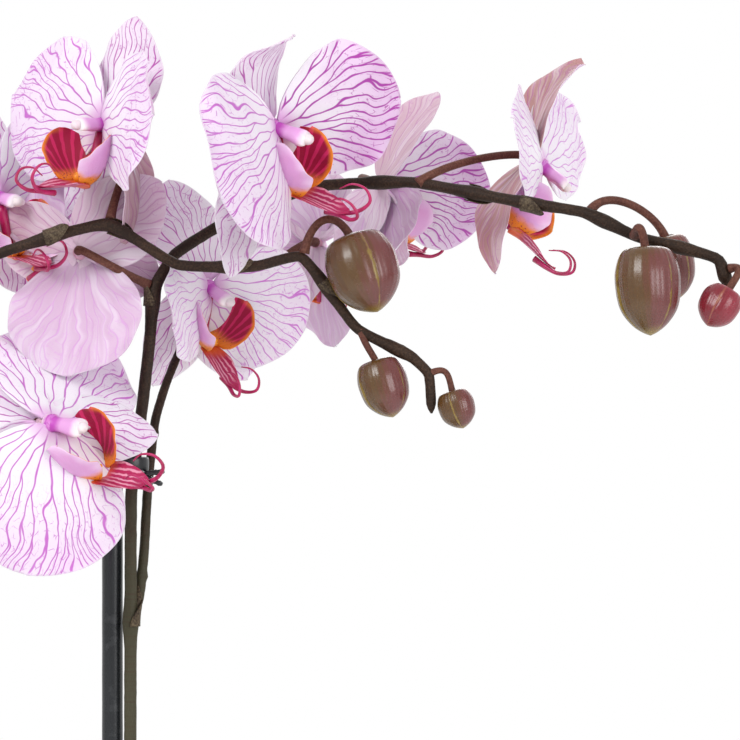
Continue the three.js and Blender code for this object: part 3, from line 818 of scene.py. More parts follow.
@dataclass(frozen=True)
class FleshFinish:
    """Plain living tissue of two close colours, with speckles."""

    name: str
    first: Colour
    second: Colour
    speckle: Colour
    speckles: float = 0.5
    roughness: float = 0.45
    grain: float = 900.0

    def material(self) -> Material:
        """Builds the finish.

        Returns:
            The material.
        """
        shader = Shader(self.name)
        where = shader.object_place()
        colour = shader.mix(shader.noise(where, 220.0, 3.0).above(0.35, 0.65), self.first, self.second)
        spots = shader.noise(where, 1100.0, 1.0).above(0.60, 0.66) * self.speckles
        colour = shader.mix(spots, colour, self.speckle)
        return shader.finish(
            Base_Color=colour, Roughness=self.roughness, Subsurface_Weight=0.15,
            Subsurface_Radius=(1.0, 0.5, 0.4), Subsurface_Scale=0.001,
            Normal=shader.bump(shader.noise(where, self.grain, 3.0), 0.00015, 0.5),
        )


@dataclass(frozen=True)
class StemFinish:
    """A stem's skin: two browns in fine speckles, with thin rings and an olive lower part."""

    name: str
    dark: Colour
    light: Colour
    low: Colour
    olive_below: float = 0.0
    roughness: float = 0.5

    def material(self) -> Material:
        """Builds the finish.

        Returns:
            The material.
        """
        shader = Shader(self.name)
        where = shader.object_place()
        x, y, z = shader.split(where)
        fine = shader.noise(where, 1500.0, 3.0)
        broad = shader.noise(where, 90.0, 3.0)
        colour = shader.mix((fine * 0.7 + broad * 0.5 - 0.15).above(0.3, 0.75), self.dark, self.light)
        if self.olive_below:
            rings = shader.noise(shader.join(x * 12.0, y * 12.0, z * 1200.0), 1.0, 2.0).above(0.5, 0.62)
            low = shader.mix(rings * 0.35, self.low, self.light)
            height = z + (broad - 0.5) * 0.05
            colour = shader.mix(height.below(self.olive_below - 0.05, self.olive_below + 0.01), colour, low)
        return shader.finish(
            Base_Color=colour, Roughness=self.roughness + fine * 0.15, Specular_IOR_Level=0.22,
            Normal=shader.bump(fine + shader.noise(where, 400.0, 3.0), 0.00025, 0.7),
        )


# ------------------------------------------------------------------ flowers

def tube(path: np.ndarray, radii: np.ndarray, sides: int) -> Shape:
    """A round closed bar along a path, whose thickness may change.

    Args:
        path: points by 3.
        radii: one radius for each point.
        sides: points round it.

    Returns:
        The shape.
    """
    ahead = unit(np.gradient(path, axis=0))
    across = np.cross(ahead[0], (0.31, 0.52, 0.79))
    rings = []
    for place, direction, radius in zip(path, ahead, radii):
        across = unit(across - direction * np.dot(across, direction))
        other = np.cross(direction, across)
        angle = round_turn(sides)[:, None]
        rings.append(place + radius * (np.cos(angle) * across + np.sin(angle) * other))
    return loft(np.array(rings))


def ball(radii: Point, rings: int = 9, sides: int = 14) -> Shape:
    """An egg-shaped closed body at the origin, from its three half sizes."""
    profile = [(math.sin(turn), -math.cos(turn)) for turn in np.linspace(0.12, math.pi - 0.12, rings)]
    return turned(profile, sides).moved(Matrix.Diagonal((*radii, 1)))


@dataclass(frozen=True)
class Lip:
    """The lip of a flower: claw, callus, two side lobes, a middle lobe and its two tendrils."""

    foot: float = 20.0
    lobe_length: float = 20.0
    lobe_width: float = 19.0
    tongue_length: float = 22.0
    spread: float = 32.0
    cup: float = -18.0
    dip: float = 0.0
    curl: int = 1

    def shapes(self) -> list[Shape]:
        """The lip's closed shapes, finishes 0 to 3: lobes, tongue, callus and claw.

        Returns:
            The shapes, in millimetres.
        """
        claw = tube(curve_through([(0, -2.6, 1.5), (0, -9, 3.2), (0, -15, 4.4), (0, -self.foot, 7.5)], 9),
                    np.linspace(1.9, 1.3, 9), 10).dressed(3)
        foot = Vector((0, 0.2 - self.foot, 6.5))
        hinge = Matrix.Translation(foot) @ spun(self.dip, "X") @ Matrix.Translation(-foot)
        parts = [claw, self._tongue().moved(hinge)]
        for side in (-1, 1):
            parts.append(self._side_lobe(side))
            lump = ball((1.7, 2.0, 2.6)).moved(Matrix.Translation((side * 1.3, 2.6 - self.foot, 8.5)))
            parts.append(lump.dressed(2))
            parts.append(self._tendril(side).moved(hinge))
        return parts

    def _side_lobe(self, side: int) -> Shape:
        """One upright side lobe, cupped towards the column.

        Args:
            side: -1 or 1.

        Returns:
            Its shape.
        """
        blade = Tepal(length=self.lobe_length, width=self.lobe_width, claw=0.42, fullest=1.05, fullness=0.62,
                      lean=-26, bend=62, hollow=-4.0, ruffle=0.4, rows=24, columns=20, seed=11 + side)
        turn = Matrix(((0, 0, -side, 0), (0, 1, 0, 0), (side, 0, 0, 0), (0, 0, 0, 1)))
        seat = Matrix.Translation((side * 2.2, 0.8 - self.foot, 8.5))
        seat = seat @ spun(-side * self.spread, "Z") @ spun(-side * self.cup, "Y") @ turn
        return blade.shape().dressed(0, (side + 1) / 2).moved(seat)

    def _tongue(self) -> Shape:
        """The pointed middle lobe.

        Returns:
            Its shape.
        """
        blade = Tepal(length=self.tongue_length, width=11.5, claw=0.4, fullest=0.66, fullness=0.95, lean=6,
                      bend=-16, curl=34, hollow=-1.2, fold=1.0, ruffle=0.2, rows=26, columns=18, seed=13)
        turn = Matrix(((-1, 0, 0, 0), (0, -0.10, 0.995, 0), (0, 0.995, 0.10, 0), (0, 0, 0, 1)))
        return blade.shape(1).moved(Matrix.Translation((0, 0.2 - self.foot, 6.5)) @ turn)

    def _tendril(self, side: int) -> Shape:
        """One of the two curled tendrils at the tongue's tip.

        Args:
            side: -1 or 1.

        Returns:
            Its shape.
        """
        foot = -self.foot - 1.6
        lift = 2.0 if side == self.curl else 0.0
        steps = 36
        path = curve_through([
            (side * 0.6, foot - 0.6, 21), (side * 0.9, foot - 0.2, 26),
            (side * 2.4, foot + 0.4 + lift * 0.5, 31), (side * 3.8, foot + 3.2 + lift, 34),
            (side * 4.2, foot + 6.6 + lift, 32), (side * 3.6, foot + 7.2 + lift, 27.5),
            (side * 3.0, foot + 4.6 + lift, 23.5),
        ], steps)
        thick = np.interp(np.linspace(0, 1, steps), (0, 0.12, 0.6, 1), (1.1, 0.85, 0.5, 0.2))
        return tube(path, thick, 8).dressed(3)


@dataclass(frozen=True)
class Column:
    """The column: a winged shaft with a hollow below its tip, and a rounded cap.

    STATIONS are places along it, in millimetres, and how thick it is there as a part of its radius.
    """

    length: float = 12.5
    radius: float = 2.5
    sides: int = 28

    STATIONS = ((-1.2, 1.2), (0.2, 1.25), (2.2, 0.98), (4.5, 0.92), (7, 1.02), (9.2, 1.16), (11, 1.2),
                (12, 1.08), (12.6, 0.8))

    def shapes(self) -> list[Shape]:
        """The shaft and its cap.

        Returns:
            The shaft, finish 0, and the cap, finish 1, in millimetres.
        """
        angle = round_turn(self.sides)
        rings = []
        for place, radius in curve_through([(at, self.radius * part) for at, part in self.STATIONS], 22):
            part = place / self.length
            hollow = 0.75 * float(smooth_step(np.array(part), 0.45, 0.85))
            wing = 1 + 0.28 * np.abs(np.cos(angle)) ** 4 * part
            low = np.where(np.sin(angle) < 0, 0.85 - hollow * np.abs(np.sin(angle)) ** 2, 1.0)
            droop = -0.9 * part ** 2
            rings.append(np.stack([radius * wing * np.cos(angle), radius * low * np.sin(angle) + droop,
                                   np.full(self.sides, place)], axis=1))
        cap = ball((2.05, 1.75, 1.9), 9, 18).moved(Matrix.Translation((0, -0.1, self.length + 0.1)))
        return [loft(np.array(rings)), cap.dressed(1)]


@dataclass(frozen=True)
class Stalk:
    """The curved stalk of one flower or bud."""

    start: Point
    away: Point
    over: float = 12.0
    radius: float = 1.45
    reach: float = 20.0
    sink: float = 1.8

    def shape(self, target: Vector, arrive: Vector) -> Shape:
        """The stalk to its flower or bud, in millimetres.

        Args:
            target: where it ends.
            arrive: the handle that it comes in along.

        Returns:
            The closed shape.
        """
        leaves = Vector(self.away).normalized()
        first = Vector(self.start) - leaves * self.sink
        second = first + leaves * (self.over + self.sink)
        part = np.linspace(0, 1, 36)[:, None]
        corners = [np.array(corner) for corner in (first, second, arrive, target)]
        weights = ((1 - part) ** 3, 3 * part * (1 - part) ** 2, 3 * part ** 2 * (1 - part), part ** 3)
        path = sum(weight * corner for weight, corner in zip(weights, corners))
        ends = np.abs(part[:, 0] * 2 - 1) ** 6
        return tube(path, self.radius * (0.94 + 0.34 * ends), 14)


@dataclass(frozen=True)
class Held:
    """A petal or sepal and how it is held, as directions of the whole plant."""

    blade: Tepal
    grows: Point
    faces: Point

    def shape(self) -> Shape:
        """The blade, turned as it is held, about its flower's middle.

        Returns:
            Its shape, in millimetres.
        """
        ahead = Vector(self.grows).normalized()
        side = ahead.cross(Vector(self.faces)).normalized()
        turn = Matrix((side, ahead, side.cross(ahead))).transposed().to_4x4()
        return self.blade.shape().moved(turn)


@dataclass(frozen=True)
class Flower:
    """One open flower: where its column points, and how each blade is held."""

    number: int
    facing: float
    lift: float
    roll: float
    size: float
    stalk: Stalk
    petals: tuple[Held, Held]
    sepals: tuple[Held, Held, Held]
    lip: Lip = Lip()

    COLUMN_MIDDLE = 9.4

    def forward(self) -> Vector:
        """The direction that its column points in."""
        turn, tip = math.radians(self.facing), math.radians(self.lift)
        return Vector((math.sin(turn) * math.cos(tip), -math.cos(turn) * math.cos(tip), math.sin(tip)))

    def centre(self) -> Vector:
        """The flower's middle, found from its column's place."""
        low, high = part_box(f"flower_{self.number}_column")
        return (Vector(low) + Vector(high)) / 2 - self.forward() * self.COLUMN_MIDDLE * self.size * MM

    def matrix(self) -> Matrix:
        """The frame of its column and lip.

        Returns:
            The matrix from the flower's millimetres to the plant's metres.
        """
        forward = self.forward()
        right = Vector((0, 0, 1)).cross(forward).normalized()
        turn = Matrix((right, forward.cross(right), forward)).transposed().to_4x4()
        scale = Matrix.Scale(self.size * MM, 4)
        return Matrix.Translation(self.centre()) @ turn @ spun(self.roll, "Z") @ scale

    def _stalk(self) -> Shape:
        """The stalk, from its node to the back of the sepals.

        Returns:
            Its shape, in metres.
        """
        back = self.forward() * -self.size
        centre = self.centre() / MM
        return self.stalk.shape(centre + back * 4, centre + back * self.stalk.reach).metres()

    def make(self, finishes: "FlowerFinishes") -> None:
        """Builds and dresses the flower's four pieces.

        Args:
            finishes: the shared flower materials.
        """
        here, name = self.matrix(), f"flower_{self.number}"
        heart = ball((3.2, 3.2, 1.5)).dressed(1).moved(here @ Matrix.Translation((0, 0, 1.0)))
        hub = ball((2.4, 2.4, 2.8)).dressed(1).moved(here @ Matrix.Translation((0, 0, -2.8)))
        for kind, blades, depth, middle, dress in (
            ("petal", self.petals, 1.0, [heart], [finishes.petal, finishes.heart]),
            ("sepal", self.sepals, -2.6, [hub, self._stalk().dressed(2)],
             [finishes.sepal, finishes.hub, finishes.stalk]),
        ):
            seat = Matrix.Translation(self.centre() + self.forward() * depth * self.size * MM)
            seat = seat @ Matrix.Scale(self.size * MM, 4)
            shapes = [held.shape().moved(seat) for held in blades]
            settle(build(f"{name}_{kind}s_bloom", shapes + middle, dress), kind, f"{name}_{kind}s")
        for kind, parts, dress in (
            ("column", Column().shapes(), [finishes.column, finishes.cap]),
            ("lip", self.lip.shapes(), [finishes.lobe, finishes.tongue, finishes.callus, finishes.tendril]),
        ):
            piece = build(f"{name}_{kind}_bloom", [part.moved(here) for part in parts], dress)
            settle(piece, kind, f"{name}_{kind}")


class FlowerFinishes:
    """The materials that all the flowers share."""

    def __init__(self) -> None:
        """Builds them."""
        white, violet, magenta = (0.80, 0.755, 0.82), (0.64, 0.38, 0.65), (0.36, 0.030, 0.33)
        # The petal's two back colours hold painted shade as well as their pink; the sepal's back colours are
        # their own beige and brown.
        self.petal = TepalFinish("petal_tissue", Veins.PETAL, white, violet, magenta, (0.60, 0.20, 0.64),
                                 (0.60, 0.42, 0.58), (0.52, 0.32, 0.53), 0.42).material()
        self.sepal = TepalFinish("sepal_tissue", Veins.SEPAL, white, violet, (0.36, 0.04, 0.28),
                                 (0.50, 0.12, 0.48), (0.66, 0.50, 0.61), (0.40, 0.21, 0.20)).material()
        self.hub = FleshFinish("flower_hub", (0.62, 0.30, 0.40), (0.66, 0.42, 0.50),
                               (0.4, 0.1, 0.3)).material()
        self.heart = FleshFinish("flower_heart", (0.60, 0.16, 0.56), (0.70, 0.34, 0.68),
                                 (0.4, 0.05, 0.4)).material()
        self.stalk = StemFinish("stalk_skin", (0.085, 0.028, 0.020), (0.19, 0.075, 0.050),
                                (0.1, 0.05, 0.03)).material()
        self.column = ColumnFinish("column_tissue").material()
        self.cap = FleshFinish("anther_cap", (0.80, 0.72, 0.72), (0.78, 0.66, 0.72), (0.7, 0.4, 0.6),
                               0.2).material()
        self.lobe = LobeFinish("lip_side_lobe").material()
        self.tongue = TongueFinish("lip_tongue").material()
        self.callus = FleshFinish("lip_callus", (0.85, 0.36, 0.02), (0.80, 0.20, 0.02), (0.35, 0.01, 0.02),
                                  0.9).material()
        self.tendril = FleshFinish("lip_tendril", (0.36, 0.006, 0.07), (0.48, 0.012, 0.12), (0.2, 0.0, 0.04),
                                   0.3, 0.35).material()


# ------------------------------------------------------------------ geometry node trees

class Recipe:
    """A Geometry Nodes tree built step by step, with named inputs."""

    def __init__(self, name: str) -> None:
        """Starts a tree that takes a geometry and gives one back.

        Args:
            name: the tree's name.
        """
        self.tree = bpy.data.node_groups.new(name, "GeometryNodeTree")
        self.tree.interface.new_socket("Geometry", in_out="OUTPUT", socket_type="NodeSocketGeometry")
        self.tree.interface.new_socket("Geometry", in_out="INPUT", socket_type="NodeSocketGeometry")
        self.entry = self.tree.nodes.new("NodeGroupInput")
        self.start = self.entry.outputs[0]
        self.settings: list[tuple[str, float]] = []

    def number(self, name: str, value: float) -> Socket:
        """A named input of the tree.

        Args:
            name: its name.
            value: its value; a whole number makes a whole-number input.

        Returns:
            The socket inside the tree.
        """
        kind = "NodeSocketInt" if isinstance(value, int) else "NodeSocketFloat"
        socket = self.tree.interface.new_socket(name, in_out="INPUT", socket_type=kind)
        self.settings.append((socket.identifier, value))
        return self.entry.outputs[name]

    def node(self, kind: str, settings: dict | None = None, inputs: dict | None = None,
             output: int | str = 0) -> Socket:
        """One node.

        Args:
            kind: its type.
            settings: its properties, set first.
            inputs: values or sockets by input name or number.
            output: the output to return.

        Returns:
            The output socket.
        """
        made = self.tree.nodes.new(kind)
        for key, value in (settings or {}).items():
            setattr(made, key, value)
        for key, value in (inputs or {}).items():
            if isinstance(value, Socket):
                self.tree.links.new(value, made.inputs[key])
            else:
                made.inputs[key].default_value = value
        return made.outputs[output]

    def math(self, operation: str, *values: float | Socket) -> Socket:
        """One Math node."""
        return self.node("ShaderNodeMath", {"operation": operation}, dict(enumerate(values)))

    def scaled(self, vector: Socket, factor: float | Socket) -> Socket:
        """A vector times a number."""
        return self.node("ShaderNodeVectorMath", {"operation": "SCALE"}, {0: vector, "Scale": factor})

    def random(self, low: Point, high: Point, seed: Socket) -> Socket:
        """A random vector at each point."""
        limits = {"Min": low, "Max": high, "Seed": seed}
        return self.node("FunctionNodeRandomValue", {"data_type": "FLOAT_VECTOR"}, limits)

    def pushed(self, geometry: Socket, offset: Socket) -> Socket:
        """A geometry with its points moved."""
        return self.node("GeometryNodeSetPosition", None, {"Geometry": geometry, "Offset": offset})

    def labelled(self, geometry: Socket, name: str, value: Socket) -> Socket:
        """A geometry that stores a number under a name."""
        inputs = {"Geometry": geometry, "Name": name, "Value": value}
        return self.node("GeometryNodeStoreNamedAttribute", None, inputs)

    def apply(self, base: Object, result: Socket, name: str, material: Material,
              smooth: bool = True) -> Object:
        """Ends the tree and runs it on an object.

        Args:
            base: the object to run it on, which is used up.
            result: the geometry that the tree gives.
            name: the finished object's name.
            material: its finish.
            smooth: whether it is shaded smooth.

        Returns:
            A plain mesh object at the origin.
        """
        real = self.node("GeometryNodeRealizeInstances", None, {"Geometry": result})
        shaded = self.node("GeometryNodeSetShadeSmooth", None, {"Geometry": real, "Shade Smooth": smooth})
        dressed = self.node("GeometryNodeSetMaterial", None, {"Geometry": shaded, "Material": material})
        self.tree.links.new(dressed, self.tree.nodes.new("NodeGroupOutput").inputs[0])
        modifier = base.modifiers.new(name, "NODES")
        modifier.node_group = self.tree
        for identifier, value in self.settings:
            modifier[identifier] = value
        graph = bpy.context.evaluated_depsgraph_get()
        mesh = bpy.data.meshes.new_from_object(base.evaluated_get(graph))
        base.modifiers.remove(modifier)
        bpy.data.objects.remove(base)
        mesh.name = name
        return put(name, mesh)


def wire(name: str, path: np.ndarray, thick: np.ndarray) -> Object:
    """A line of edges through points, for a tree to work on.

    Args:
        name: its name.
        path: the points.
        thick: each point's thickness.

    Returns:
        The line as an object.
    """
    mesh = bpy.data.meshes.new(name)
    mesh.from_pydata(path.tolist(), [(index, index + 1) for index in range(len(path) - 1)], [])
    mesh.attributes.new("thick", "FLOAT", "POINT").data.foreach_set("value", thick)
    return put(name, mesh)


@dataclass(frozen=True)
class Stem:
    """A round stem swept along its route, knobbly and swollen at its nodes.

    NODE_LENGTH and END_LENGTH are the parts of the route that a node and the rounded end take up.
    """

    route: tuple[Point, ...]
    radius: float
    tip: float = 0.8
    nodes: tuple[float, ...] = ()
    swelling: float = 0.32
    steps: int = 220
    sides: int = 20
    roughness: float = 0.10
    looseness: float = 0.5

    NODE_LENGTH = 0.008
    END_LENGTH = 0.005

    def path(self) -> np.ndarray:
        """Its middle line, in millimetres."""
        return curve_through(self.route, self.steps, self.looseness)

    def thickness(self) -> np.ndarray:
        """How thick it is all along.

        Returns:
            Its radius at each step, in millimetres.
        """
        part = np.linspace(0, 1, self.steps)
        taper = self.radius * (1 + (self.tip - 1) * part)
        swell = sum(np.exp(-((part - node) / self.NODE_LENGTH) ** 2) for node in self.nodes)
        rounded = np.sqrt(np.clip((1 - part) / self.END_LENGTH, 0.04, 1.0))
        return taper * rounded * (1 + self.swelling * swell)

    def grow(self, name: str, material: Material) -> Object:
        """Sweeps the stem.

        Args:
            name: the object's name.
            material: its finish.

        Returns:
            The stem as a plain mesh.
        """
        recipe = Recipe(name)
        knob = recipe.number("Knobbliness", self.roughness * MM)
        sides = recipe.number("Sides", self.sides)
        line = recipe.node("GeometryNodeMeshToCurve", None, {"Mesh": recipe.start})
        length = recipe.node("GeometryNodeSplineParameter", output="Length")
        line = recipe.labelled(line, "along", length)
        ring = recipe.node("GeometryNodeCurvePrimitiveCircle", None, {"Resolution": sides, "Radius": 1.0})
        turn = recipe.node("GeometryNodeSplineParameter", output="Factor")
        ring = recipe.labelled(ring, "around", turn)
        thick = recipe.node("GeometryNodeInputNamedAttribute", {"data_type": "FLOAT"}, {"Name": "thick"})
        skin = recipe.node("GeometryNodeCurveToMesh", None,
                           {"Curve": line, "Profile Curve": ring, "Scale": thick, "Fill Caps": True})
        noise = recipe.node("ShaderNodeTexNoise", None, {"Scale": 420.0, "Detail": 3.0})
        noise = recipe.math("SUBTRACT", noise, 0.5)
        push = recipe.math("MULTIPLY", noise, recipe.math("MULTIPLY", knob, 4.0))
        skin = recipe.pushed(skin, recipe.scaled(recipe.node("GeometryNodeInputNormal"), push))
        line = wire(name + "_line", self.path() * MM, self.thickness() * MM)
        return recipe.apply(line, skin, name, material)


MAIN = Stem((
    (5.5, -1, 121), (4.2, -0.5, 200), (3.6, 0, 300), (3.4, 0, 400), (3.5, 0, 447), (3.8, 0, 483),
    (7.6, 0, 513), (9.8, 1, 533), (11.5, 2, 551), (18, 5, 562), (35, 8, 573), (64, 12, 585), (97, 2, 586),
    (116, -10, 582), (134, -19, 578), (153, -25, 574.5), (170, -28, 566.5), (196, -30, 559), (199, -31, 550),
), 2.4, 0.72, (0.12, 0.30, 0.49, 0.655, 0.725, 0.80, 0.853, 0.885, 0.925, 0.965, 0.995), steps=420)
SECOND = Stem((
    (3.5, -9, 121), (-16, -13, 200), (-46, -16, 290), (-72, -17, 380), (-86, -17, 450), (-88, -16, 500),
    (-76, -15, 540), (-40, -14, 561), (-3, -14, 571), (20, -14, 558), (46, -14, 557.5), (60.5, -14, 560.5),
    (79, -15, 537), (97, -16, 527.5), (102.5, -16, 522), (103.5, -16, 509),
), 2.1, 0.8, (0.15, 0.38, 0.60, 0.757, 0.79, 0.855, 0.91, 0.96), steps=420)
BRANCH = Stem((
    (4.4, 0.8, 440), (6.4, 3, 449), (7.6, 4.6, 462), (8.8, 7, 485), (11, 12, 507), (14.5, 20, 520),
    (20, 34, 534), (30, 50.5, 543),
), 1.7, 0.8, (0.12, 0.5), steps=120, sides=16)


@dataclass(frozen=True)
class Bract:
    """A small dry scale that hugs a stem at a node."""

    place: float
    side: float
    length: float = 9.0
    reach: float = 100.0

    def shape(self, path: np.ndarray, thick: np.ndarray) -> Shape:
        """The scale round its stem.

        Args:
            path: the stem's middle line.
            thick: its radius at each point.

        Returns:
            The closed shape, in millimetres.
        """
        index = int(self.place * (len(path) - 1))
        ahead = unit(path[min(index + 2, len(path) - 1)] - path[max(index - 2, 0)])
        across = unit(np.cross(ahead, (0.2, 1.0, 0.1)))
        other = np.cross(ahead, across)
        up, turn = np.meshgrid(np.linspace(0, 1, 14), np.linspace(-1, 1, 17), indexing="ij")
        angle = math.radians(self.side) + turn * math.radians(self.reach) * (1 - up ** 1.6 * 0.97)
        radius = thick[index] * 1.04 + 0.15 + 0.9 * up ** 2
        spot = path[index] + ahead * ((up - 0.12) * self.length)[..., None]
        out = np.cos(angle)[..., None] * across + np.sin(angle)[..., None] * other
        place = np.stack([turn * 4, up * self.length], axis=2)
        return slab(spot + out * (radius + 0.32)[..., None], spot + out * radius[..., None], place, up ** 4)


# ------------------------------------------------------------------ buds

@dataclass(frozen=True)
class Bud:
    """A closed bud: three sepals meeting in seams, hanging from a hooked stalk.

    OUTLINE is its side, from the stalk to the tip, as parts of its width and of half its length.
    """

    number: int
    heart: Point
    tip: Point
    length: float
    width: float
    stalk: Stalk
    turn: float = 0.0

    OUTLINE = ((0.10, -0.76), (0.22, -0.93), (0.38, -0.86), (0.485, -0.48), (0.50, -0.10), (0.44, 0.42),
               (0.27, 0.78), (0.10, 0.96))

    def body(self) -> Shape:
        """The bud's closed body.

        Returns:
            Its shape, in millimetres.
        """
        half = self.length / 2
        sides = [(self.width * out, half * up) for out, up in self.OUTLINE]
        profile = curve_through([(AXIS, -half * 0.70), *sides, (AXIS, half * 1.02)], 60)

        def sepals(angle: np.ndarray, up: np.ndarray) -> np.ndarray:
            """Three rounded sepals, each overlapping the next in a sharp step.

            Args:
                angle: angles round the bud.
                up: parts of the way up.

            Returns:
                The factor on the radius.
            """
            part = (angle / (2 * math.pi) * 3) % 1.0
            lobe = 0.07 * np.sin(math.pi * part) * np.sin(math.pi * np.clip(up * 1.05, 0, 1)) ** 0.5
            step = 0.045 * np.exp(-part / 0.05) - 0.05 * np.exp(-(1 - part) / 0.035)
            ribs = 0.006 * np.sin(angle * 27)
            return 1 + lobe + step * np.sin(math.pi * np.clip(up, 0.02, 1)) ** 0.4 + ribs

        shape = turned(profile, 120, sepals)
        around = (shape.place[:, 0] * 3) % 1.0
        shape.place[:, 2] = np.minimum(around, 1 - around)
        down = Vector(self.tip).normalized()
        hang = Vector((0, 0, 1)).rotation_difference(down).to_matrix().to_4x4()
        return shape.moved(Matrix.Translation(self.heart) @ hang @ spun(self.turn, "Z"))

    def make(self, skin: Material, stem: Material) -> None:
        """Builds and dresses the bud.

        Args:
            skin: the bud's finish.
            stem: its stalk's finish.
        """
        down = Vector(self.tip).normalized()
        crown = Vector(self.heart) - down * self.length * 0.36
        stalk = self.stalk.shape(crown, crown - down * self.stalk.over)
        shapes = [self.body().metres(), stalk.dressed(1).metres()]
        piece = build(f"bud_{self.number}_closed", shapes, [skin, stem])
        settle(piece, "bud_tip" if self.number == 6 else "bud", f"bud_{self.number}")


BUDS = (
    Bud(1, (81.3, -19, 555), (0.35, -0.2, -1), 27, 22.5, Stalk((62, -14, 563.5), (0.2, -0.1, 1), 13), 72),
    Bud(2, (88, -16, 517.5), (0.3, -0.1, -1), 20, 15.5,
        Stalk((80.7, -15.8, 534.6), (0.25, -0.3, -1), 4, 1.2), 60),
    Bud(3, (112, -17, 510.5), (0.3, -0.1, -1), 13, 11.5,
        Stalk((104.2, -16, 522.8), (1, 0, 0.5), 6, 1.1), 10),
    Bud(4, (172.5, -38, 549), (0.05, -0.1, -1), 29, 20, Stalk((169, -31.5, 567.5), (0, -1, 0.4), 10), 100),
    Bud(5, (182.5, -12, 557.5), (0.2, 0.1, -1), 22, 15, Stalk((156, -22, 576.5), (0.6, 0.5, 1), 10), 40),
    Bud(6, (195, -39, 543.5), (-0.6, -0.2, -1), 14, 12.5,
        Stalk((201, -33, 556.5), (1, -0.6, 0.3), 5, 1.3), 80),
)


@dataclass(frozen=True)
class BudFinish:
    """A bud's waxy skin: olive on one side, mauve on the other, yellow-green at its seams and tip."""

    name: str
    olive: Colour = (0.105, 0.050, 0.012)
    mauve: Colour = (0.155, 0.038, 0.036)
    seam: Colour = (0.26, 0.18, 0.03)
    tip: float = 0.9

    def material(self) -> Material:
        """Builds the finish.

        Returns:
            The material.
        """
        shader = Shader(self.name)
        around, along, seam = shader.split(shader.attribute("place"))
        where = shader.object_place()
        side, _, _ = shader.split(shader.node("ShaderNodeNewGeometry", output="Normal"))
        blend = (side * 0.5 + 0.5 + (shader.noise(where, 60.0, 2.0) - 0.5) * 0.5).above(0.35, 0.75)
        colour = shader.mix(blend, self.olive, self.mauve)
        streaks = shader.noise(shader.join(around * 60.0, along * 3.0), 1.0, 3.0)
        colour = shader.mix((streaks - 0.25) * 0.45, colour, (0.040, 0.014, 0.010))
        pale = (seam * 3.0 + (shader.noise(where, 300.0) - 0.5) * 0.3).below(0.02, 0.11)
        pale = pale * along.above(0.12, 0.5)
        tip = (along + (shader.noise(where, 200.0) - 0.5) * 0.08).above(self.tip - 0.05, self.tip + 0.09)
        colour = shader.mix(pale.math("MAXIMUM", tip) * 0.8, colour, self.seam)
        gloss = 0.20 + shader.noise(where, 500.0, 2.0) * 0.12
        return shader.finish(
            Base_Color=colour, Roughness=gloss, Subsurface_Weight=0.06, Subsurface_Radius=(1.0, 0.4, 0.3),
            Subsurface_Scale=0.001, Coat_Weight=0.25, Coat_Roughness=0.18,
            Normal=shader.bump(streaks * 0.5 + shader.noise(where, 2600.0, 2.0), 0.00014, 0.6),
        )


# ------------------------------------------------------------------ pot, bark and stake

@dataclass(frozen=True)
class Pot:
    """A plain glazed pot, lathed, with a rounded rim and a turned foot."""

    foot: float = 56.0
    rim: float = 72.0
    height: float = 125.0
    wall: float = 5.0
    floor: float = 10.0

    def make(self) -> None:
        """Builds and dresses the pot."""
        outside = curve_through([
            (self.foot - 6, 0.6), (self.foot - 2.5, 0.0), (self.foot - 0.6, 0.7), (self.foot + 0.4, 3),
            (self.foot + 3, 14), (self.foot + 9, 62), (self.rim - 2.2, self.height - 16),
            (self.rim - 1.4, self.height - 13.5), (self.rim - 0.3, self.height - 12),
            (self.rim, self.height - 9), (self.rim, self.height - 4), (self.rim - 0.9, self.height - 1),
            (self.rim - 2.6, self.height), (self.rim - 4.4, self.height - 1),
            (self.rim - self.wall, self.height - 4), (self.rim - self.wall - 2, self.height - 18),
            (self.foot + 4, 60), (self.foot - 3, self.floor + 5), (self.foot - 8, self.floor),
        ], 150)
        profile = [(AXIS, 0.9), *outside, (AXIS, self.floor)]
        piece = build("glazed_pot", [turned(profile, 128).metres()], [self._glaze()])
        settle(piece, "glaze", "pot")

    def _glaze(self) -> Material:
        """A pale satin glaze with fine specks and thin places at the rim.

        Returns:
            The material.
        """
        shader = Shader("pot_glaze")
        where = shader.object_place()
        _, _, z = shader.split(where)
        cloud = shader.noise(where, 22.0, 3.0)
        colour = shader.mix(cloud.above(0.3, 0.7), (0.78, 0.77, 0.74), (0.84, 0.83, 0.80))
        thin = abs(z - 0.1245).below(0.0006, 0.0026).math("MAXIMUM", abs(z - 0.001).below(0.0008, 0.003))
        colour = shader.mix(thin * (0.35 + cloud * 0.3), colour, (0.62, 0.52, 0.42))
        specks = shader.noise(where, 900.0, 1.0).above(0.72, 0.76) * 0.5
        colour = shader.mix(specks, colour, (0.42, 0.36, 0.30))
        swell = shader.noise(where, 60.0, 2.0) + shader.noise(where, 700.0) * 0.12
        return shader.finish(
            Base_Color=colour, Roughness=0.22 + cloud * 0.12 + thin * 0.25, Coat_Weight=0.35,
            Coat_Roughness=0.12, Normal=shader.bump(swell, 0.0006, 0.5),
        )


